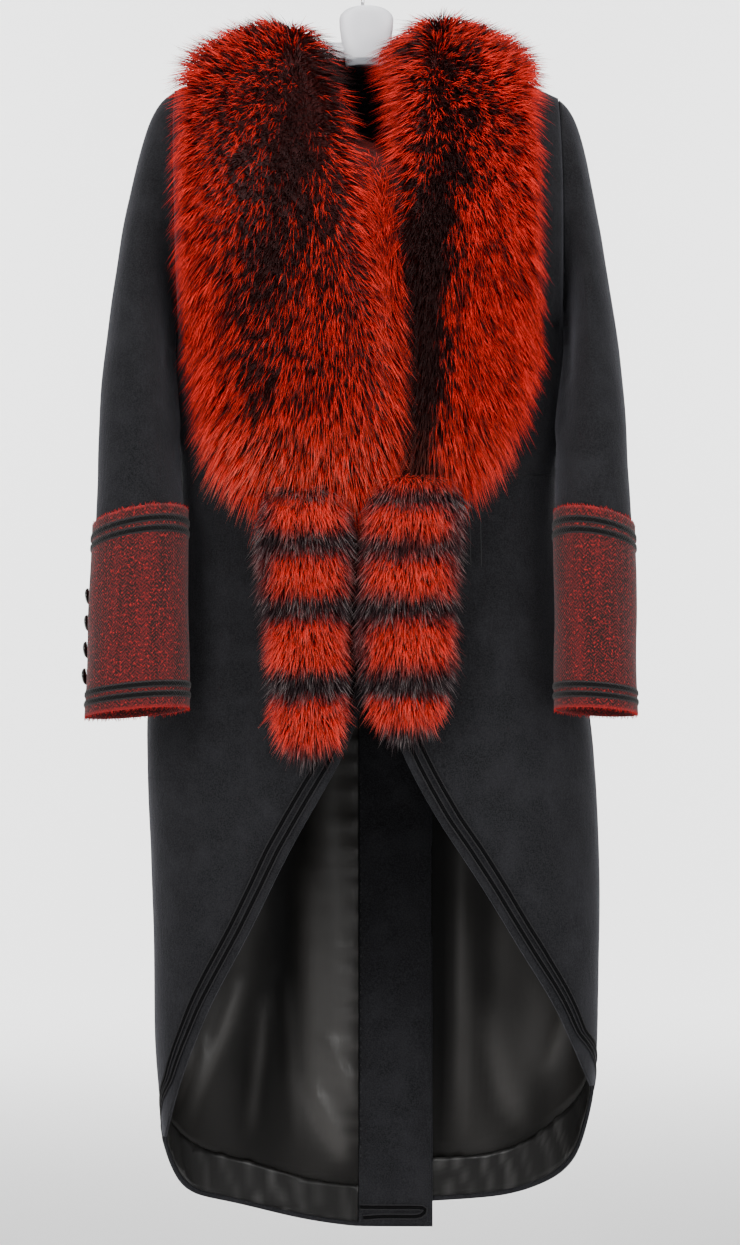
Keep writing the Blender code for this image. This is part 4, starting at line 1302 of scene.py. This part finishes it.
class CoatClothSettings(bpy.types.PropertyGroup):
    cloth_colour: bpy.props.FloatVectorProperty(
        name="Cloth", description="Colour of the cashmere", subtype="COLOR", size=3, min=0, max=1,
        default=linear("#1F1F21")[:3],
    )
    tweed_colour: bpy.props.FloatVectorProperty(
        name="Tweed", description="Colour of the tweed's red yarn", subtype="COLOR", size=3, min=0,
        max=1, default=linear("#C0201F")[:3],
    )
    fineness: bpy.props.IntProperty(
        name="Fineness", description="Subdivisions of the cloth", default=2, min=1, max=3,
    )


class CoatFurSettings(bpy.types.PropertyGroup):
    fur_colour: bpy.props.FloatVectorProperty(
        name="Fur", description="Brightest colour of the dyed fur", subtype="COLOR", size=3, min=0,
        max=1, default=linear("#F22C20")[:3],
    )
    hair_width: bpy.props.FloatProperty(
        name="Hair width", description="Width of a hair at its root", default=0.00085, min=0.0002,
        max=0.003, precision=4, unit="LENGTH",
    )
    hair_arch: bpy.props.FloatProperty(
        name="Hair arch", description="How far a hair bows", default=0.0022, min=0, max=0.01,
        precision=4, unit="LENGTH",
    )
    front_hairs: bpy.props.IntProperty(
        name="Front hairs", description="Hairs on one lapel", default=18000, min=100, max=19500,
    )
    back_hairs: bpy.props.IntProperty(
        name="Back hairs", description="Hairs on one half of the collar's back", default=7000, min=100,
        max=19500,
    )
    tail_hairs: bpy.props.IntProperty(
        name="Tail hairs", description="Hairs on one tail", default=9000, min=100, max=19500,
    )
    clump: bpy.props.FloatProperty(
        name="Clump", description="Size of a lock of hair", default=0.0055, min=0.002, max=0.03,
        precision=4, unit="LENGTH",
    )


class CoatStageSettings(bpy.types.PropertyGroup):
    light: bpy.props.FloatProperty(
        name="Light", description="Strength of the studio lights", default=1.0, min=0.1, max=5,
    )
    paper_colour: bpy.props.FloatVectorProperty(
        name="Paper", description="Colour of the floor and backdrop", subtype="COLOR", size=3, min=0,
        max=1, default=linear("#FBFBFB")[:3],
    )


def cloth_look():
    return bpy.context.scene.coat_cloth


def fur_look():
    return bpy.context.scene.coat_fur


# Operators


class COAT_OT_stage(bpy.types.Operator):
    """Set up the camera, the pale paper and the soft studio lights"""

    bl_idname = "coat.stage"
    bl_label = "Stage"

    def execute(self, context):
        look = context.scene.coat_stage
        camera = bpy.data.objects.new("camera", bpy.data.cameras.new("camera"))
        camera.location = (0, -CAMERA_DISTANCE, CAMERA_HEIGHT)
        camera.rotation_euler = (math.pi / 2, 0, 0)
        camera.data.sensor_fit = "VERTICAL"
        camera.data.sensor_height = SENSOR
        camera.data.lens = SENSOR * CAMERA_DISTANCE / FRAME_HEIGHT
        context.scene.collection.objects.link(camera)
        context.scene.camera = camera
        self.paper(look)
        self.lights(context, look)
        return {"FINISHED"}

    def paper(self, look):
        """A round floor with a curved rise behind it, in one sheet."""
        floor = -1.45
        rows = []
        bend = [
            (PAPER_BEND + 1.2 * math.sin(t), 1.2 - 1.2 * math.cos(t))
            for t in np.linspace(0, math.pi / 2, 11)
        ]
        for y, z in [(-9, 0), *bend, (PAPER_BEND + 1.2, 7)]:
            rows.append([(x, y, floor + z) for x in (-9, 9)])
        paper = grid_mesh("paper", rows)
        made, tree, shader = new_material("studio paper")
        grain = noise(tree, object_place(tree), 0.004, 2, 0.5)
        flecks = ramp(tree, grain, 0.3, 0.7, 0, 0.04)
        base = mix(tree, flecks, tuple(look.paper_colour) + (1,), linear("#E8E8E8"))
        tree.links.new(base, shader.inputs["Base Color"])
        set_shader(shader, Roughness=0.95, Specular_IOR_Level=0.1)
        paper.materials.append(made)
        paper.shade_smooth()
        obj = bpy.data.objects.new("paper", paper)
        bpy.context.scene.collection.objects.link(obj)

    def lights(self, context, look):
        world = bpy.data.worlds.new("studio")
        world.use_nodes = True
        world.node_tree.nodes["Background"].inputs["Color"].default_value = linear("#FFFFFF")
        world.node_tree.nodes["Background"].inputs["Strength"].default_value = 0.45 * look.light
        context.scene.world = world
        for name, place, aim, size, power in (
            ("key", (-1.8, -3.0, 0.9), (0, 0, -0.55), 1.6, 120),
            ("fill", (2.1, -2.8, 0.2), (0, 0, -0.65), 1.8, 85),
            ("top", (0, -0.6, 1.6), (0, 0, -0.3), 1.4, 30),
            ("paper left", (-3.0, 4.2, 1.2), (-0.9, PAPER_BEND + 1.2, -0.4), 1.6, 250),
            ("paper right", (3.0, 4.2, 1.2), (0.9, PAPER_BEND + 1.2, -0.4), 1.6, 250),
        ):
            lamp = bpy.data.lights.new(name, "AREA")
            lamp.size = size
            lamp.energy = power * look.light
            obj = bpy.data.objects.new(name, lamp)
            obj.location = place
            obj.rotation_euler = (Vector(aim) - Vector(place)).to_track_quat("-Z", "Y").to_euler()
            context.scene.collection.objects.link(obj)


class COAT_OT_cloth(bpy.types.Operator):
    """Make the fronts, backs, sleeves and the vent's facing"""

    bl_idname = "coat.cloth"
    bl_label = "Cashmere pieces"

    def execute(self, context):
        look = cloth_look()
        cashmere = cashmere_material(look)
        for name in ("front_left", "front_right", "back_left", "back_right", "vent_facing"):
            mesh = fine_copy(name, look.fineness)
            shape_panel(mesh, "back_left" if name == "vent_facing" else name)
            add_piece("cloth_" + name, mesh, cashmere, [name])
        for side in SIDES:
            mesh = fine_copy("sleeve_" + side, look.fineness)
            shape_sleeve(mesh, side)
            piece = add_piece("cloth_sleeve_" + side, mesh, cashmere, ["sleeve_" + side])
        return {"FINISHED"}


class COAT_OT_stitching(bpy.types.Operator):
    """Sew the seam lines of the right front and the pick stitches beside the vent's strip"""

    bl_idname = "coat.stitching"
    bl_label = "Stitching"

    def execute(self, context):
        add_piece("stitching", join_meshes("stitching", stitch_meshes()), thread_material())
        return {"FINISHED"}


class COAT_OT_lining(bpy.types.Operator):
    """Make the satin linings and hem facings of the back"""

    bl_idname = "coat.lining"
    bl_label = "Satin lining"

    def execute(self, context):
        # Each satin goes from its dark ground to a lighter colour, painted on its raised folds as painted
        # highlight.
        satin = satin_material("viscose satin", linear("#020202"), linear("#2A2826"))
        facing = satin_material("viscose satin facing", linear("#040404"), linear("#201F1E"))
        for side in SIDES:
            for name, levels, shape, cloth in (
                ("lining_" + side, LINING_FINENESS[side], shape_lining, satin),
                ("hem_facing_" + side, FACING_FINENESS, shape_facing, facing),
            ):
                mesh = fine_copy(name, levels)
                shape(mesh, side)
                add_piece("satin_" + name, mesh, cloth, [name])
        return {"FINISHED"}


class COAT_OT_cuffs(bpy.types.Operator):
    """Make the tweed cuffs with their velvet rows"""

    bl_idname = "coat.cuffs"
    bl_label = "Tweed cuffs"

    def execute(self, context):
        tweed = tweed_material(cloth_look())
        yarn = yarn_material()
        for side in SIDES:
            piece = add_piece("tweed_cuff_" + side, cuff_mesh(side), tweed, ["cuff_" + side])
            add_piece("yarn_ends_" + side, fray_mesh(side), yarn)
        return {"FINISHED"}


class COAT_OT_ribbons(bpy.types.Operator):
    """Lay the velvet ribbon and its fine cords along the edges"""

    bl_idname = "coat.ribbons"
    bl_label = "Velvet ribbon"

    def execute(self, context):
        velvet = velvet_material()
        cord = braid_material()
        for name in ("left", "right", "vent"):
            node = "ribbon_" + name
            band, cords = ribbon_meshes(node, inward=name == "vent")
            add_piece("velvet_" + node, band, velvet, [node])
            add_piece("edging_" + node, cords, cord)
        return {"FINISHED"}


class COAT_OT_fur(bpy.types.Operator):
    """Grow the collar's and the tails' fur"""

    bl_idname = "coat.fur"
    bl_label = "Fur"

    def execute(self, context):
        look = fur_look()
        pelt = fur_material(look)
        tree = hair_tree()
        strand = strand_object(look.hair_width, look.hair_arch)
        for number, side in enumerate(SIDES):
            hide = collar_hide(side)
            grow = np.empty(len(hide.vertices), np.float32)
            hide.attributes["grow"].data.foreach_get("value", grow)
            behind = smooth(points_of(hide)[:, 1], BACK_SPLIT - 0.004, BACK_SPLIT + 0.004)
            add_piece("hide_" + side, hide.copy(), pelt, ["fur_" + side])
            for name, share, count in (
                ("front", 1 - behind, look.front_hairs), ("back", behind, look.back_hairs)
            ):
                hide.attributes["grow"].data.foreach_set("value", (grow * share).astype(np.float32))
                hairs = grown(
                    hide, tree, pelt, strand, count, look.clump, *COLLAR_LIE, COLLAR_SEED + number
                )
                add_piece(f"fur_hair_{side}_{name}", hairs, pelt)
            hide = tail_hide(side)
            add_piece("tail_hide_" + side, hide.copy(), pelt, ["tail_" + side])
            clump = look.clump * TAIL_CLUMP
            hairs = grown(
                hide, tree, pelt, strand, look.tail_hairs, clump, *TAIL_LIE, TAIL_SEED + number
            )
            add_piece("tail_hair_" + side, hairs, pelt)
        bpy.data.objects.remove(strand)
        return {"FINISHED"}


BUTTON_PROFILE = [
    (0.5, 1.2), (1.6, 1.3), (1.9, 3.0), (2.1, 7.4), (2.7, 8.0), (3.5, 8.0), (4.1, 7.6), (4.4, 6.9),
    (4.1, 6.3), (3.7, 5.2), (3.6, 3.0), (3.6, 0.6),
]
RING_RADIUS = 6.6
RING_HEIGHT = 4.3
RING_WIRE = 0.45
BUTTON_AROUND = 32


class COAT_OT_buttons(bpy.types.Operator):
    """Turn the shank buttons with their bright rings"""

    bl_idname = "coat.buttons"
    bl_label = "Buttons"

    def execute(self, context):
        horn = horn_material()
        bright = ring_material()
        for side in SIDES:
            for i in range(1, 5):
                node = f"button_{side}_{i}"
                seat, axis = self.seat_of(node, side)
                across = unit(np.cross(axis, [0, 0, 1.0]))
                up = np.cross(across, axis)
                body = self.turned(seat, axis, across, up, BUTTON_PROFILE)
                ring = [
                    (RING_HEIGHT + RING_WIRE * math.sin(t), RING_RADIUS + RING_WIRE * math.cos(t))
                    for t in circle(8)
                ]
                add_piece("horn_" + node, facing_out(body), horn, [node])
                ring_piece = self.turned(seat, axis, across, up, ring, looped=True)
                add_piece("ring_" + node, facing_out(ring_piece), bright)
        return {"FINISHED"}

    def seat_of(self, node, side):
        """Where a button's shank meets the cuff, and the direction it faces."""
        points = points_of(bpy.data.objects[node].data)
        middle = points.mean(axis=0)
        spread = points - middle
        axis = np.linalg.eigh(spread.T @ spread)[1][:, 0]
        inside, _, _ = tube_place(side, CUFFS[side], np.interp(-middle[2] / MM, (550, 740), (0, 179)))
        axis = axis if axis @ (middle - inside) > 0 else -axis
        height = (points - middle) @ axis
        return middle + axis * (height.min() - 0.8 * MM), axis

    def turned(self, seat, axis, across, up, profile, looped=False):
        rows = []
        for height, radius in [*profile, *(profile[:1] if looped else [])]:
            centre = seat + axis * height * MM
            rows.append([
                centre + (across * math.cos(c) + up * math.sin(c)) * radius * MM
                for c in circle(BUTTON_AROUND)
            ])
        mesh = grid_mesh("button", rows, closed=True, capped=not looped)
        if looped:
            shell = bmesh.new()
            shell.from_mesh(mesh)
            bmesh.ops.remove_doubles(shell, verts=shell.verts, dist=1e-7)
            shell.to_mesh(mesh)
            shell.free()
        return mesh


# The hanger, in millimetres: the head's half width by drop, its depth, and where the arms are cut from the
# hanger's solid.
HEAD = [
    (59.6, 7), (60.4, 12), (62, 17), (64.5, 21.3), (68, 24.6), (72, 26), (80, 25.8), (92, 24.2),
    (104, 22.2), (110, 21), (111, 20.4), (112, 20.8), (116, 20), (118, 19.6), (118.6, 18.2),
]
HEAD_PLACE = (-3.5, 2)
HEAD_ARCH = 2.2
RIM_DROP = 111.5
ARM_START = 18
ARM_TOP = 92.5
HEAD_DEPTH = 8
HEAD_AROUND = 48
HOOK_WIRE = 1.6
HOOK_RADIUS = 19
HOOK_STEM = -7


class COAT_OT_hanger(bpy.types.Operator):
    """Make the moulded hanger and its wire hook"""

    bl_idname = "coat.hanger"
    bl_label = "Hanger"

    def execute(self, context):
        head = self.head()
        arms = [self.arm(side) for side in SIDES]
        mesh = join_meshes("hanger", [head, *arms], ["rim"])
        add_piece("moulded_hanger", mesh, plastic_material(), ["hanger"])
        add_piece("hook_wire", self.hook(), ring_material(), ["hook"])
        return {"FINISHED"}

    def head(self):
        rows = []
        steps = [np.linspace(a[0], b[0], 4)[:-1] for a, b in zip(HEAD, HEAD[1:])]
        fine = np.concatenate([*steps, [HEAD[-1][0]]])
        for drop in fine:
            width = np.interp(drop, [h[0] for h in HEAD], [h[1] for h in HEAD])
            thick = min(HEAD_DEPTH, width) * min(1, 0.55 + 0.45 * width / 22)
            row = []
            for c in circle(HEAD_AROUND):
                x = HEAD_PLACE[0] + width * math.cos(c)
                y = HEAD_PLACE[1] + thick * math.copysign(abs(math.sin(c)) ** 0.7, math.sin(c))
                arch = HEAD_ARCH * (1 - math.cos(c) ** 2) * max(0, (drop - 100) / 19)
                row.append((x * MM, y * MM, -(drop - arch) * MM))
            rows.append(row)
        mesh = facing_out(grid_mesh("head", rows, closed=True, capped=True))
        levels = np.repeat(fine, HEAD_AROUND)
        set_attribute(mesh, "rim", smooth(levels, RIM_DROP - 1, RIM_DROP))
        return mesh

    def arm(self, side):
        """One arm's part of the solid, from well inside the head outwards."""
        mesh = fine_copy("hanger", 2)
        shell = bmesh.new()
        shell.from_mesh(mesh)
        start = (HEAD_PLACE[0] + SIGN[side] * ARM_START) * MM
        for place, outward in (
            ((0, 0, -ARM_TOP * MM), (0, 0, 1)), ((start, 0, 0), (-SIGN[side], 0, 0))
        ):
            bmesh.ops.bisect_plane(
                shell, geom=[*shell.verts, *shell.edges, *shell.faces], plane_co=place,
                plane_no=outward, clear_outer=True,
            )
            bmesh.ops.holes_fill(shell, edges=[e for e in shell.edges if e.is_boundary])
        shell.to_mesh(mesh)
        shell.free()
        return mesh

    def hook(self):
        centre = HOOK_WIRE - HOOK_RADIUS + 0.3
        path = [(HOOK_STEM, 0, -d) for d in (62, 56, 50, 45, 41)]
        for k in range(41):
            turn = math.radians(-52 + 232 * k / 40)
            path.append((HOOK_RADIUS * math.cos(turn), 0, centre + HOOK_RADIUS * math.sin(turn)))
        path = np.array(path, float)
        for _ in range(3):
            path[1:-1] = (path[:-2] + 2 * path[1:-1] + path[2:]) / 4
        path *= MM
        ups = np.tile([0, 1.0, 0], (len(path), 1))
        wire = [(HOOK_WIRE * math.cos(t), HOOK_WIRE * math.sin(t)) for t in circle(16)]
        return sweep("hook", path, ups, wire)


class COAT_PT_panel(bpy.types.Panel):
    """The coat's settings and steps"""

    bl_label = "Coat"
    bl_idname = "COAT_PT_panel"
    bl_space_type = "VIEW_3D"
    bl_region_type = "UI"
    bl_category = "Coat"

    def draw(self, context):
        scene = context.scene
        for group in (scene.coat_cloth, scene.coat_fur, scene.coat_stage):
            box = self.layout.box()
            for name in group.__annotations__:
                box.prop(group, name)
        for operator in OPERATORS:
            self.layout.operator(operator.bl_idname)


SETTINGS = (CoatClothSettings, CoatFurSettings, CoatStageSettings)
OPERATORS = (
    COAT_OT_stage, COAT_OT_cloth, COAT_OT_stitching, COAT_OT_lining, COAT_OT_cuffs, COAT_OT_ribbons,
    COAT_OT_fur, COAT_OT_buttons, COAT_OT_hanger,
)


def register():
    for item in (*SETTINGS, *OPERATORS, COAT_PT_panel):
        bpy.utils.register_class(item)
    bpy.types.Scene.coat_cloth = bpy.props.PointerProperty(type=CoatClothSettings)
    bpy.types.Scene.coat_fur = bpy.props.PointerProperty(type=CoatFurSettings)
    bpy.types.Scene.coat_stage = bpy.props.PointerProperty(type=CoatStageSettings)


def unregister():
    for name in ("coat_cloth", "coat_fur", "coat_stage"):
        delattr(bpy.types.Scene, name)
    for item in reversed((*SETTINGS, *OPERATORS, COAT_PT_panel)):
        bpy.utils.unregister_class(item)


def main():
    register()
    bpy.ops.coat.stage()
    bpy.ops.coat.cloth()
    bpy.ops.coat.stitching()
    bpy.ops.coat.lining()
    bpy.ops.coat.cuffs()
    bpy.ops.coat.ribbons()
    bpy.ops.coat.fur()
    bpy.ops.coat.buttons()
    bpy.ops.coat.hanger()


if __name__ == "__main__":
    main()
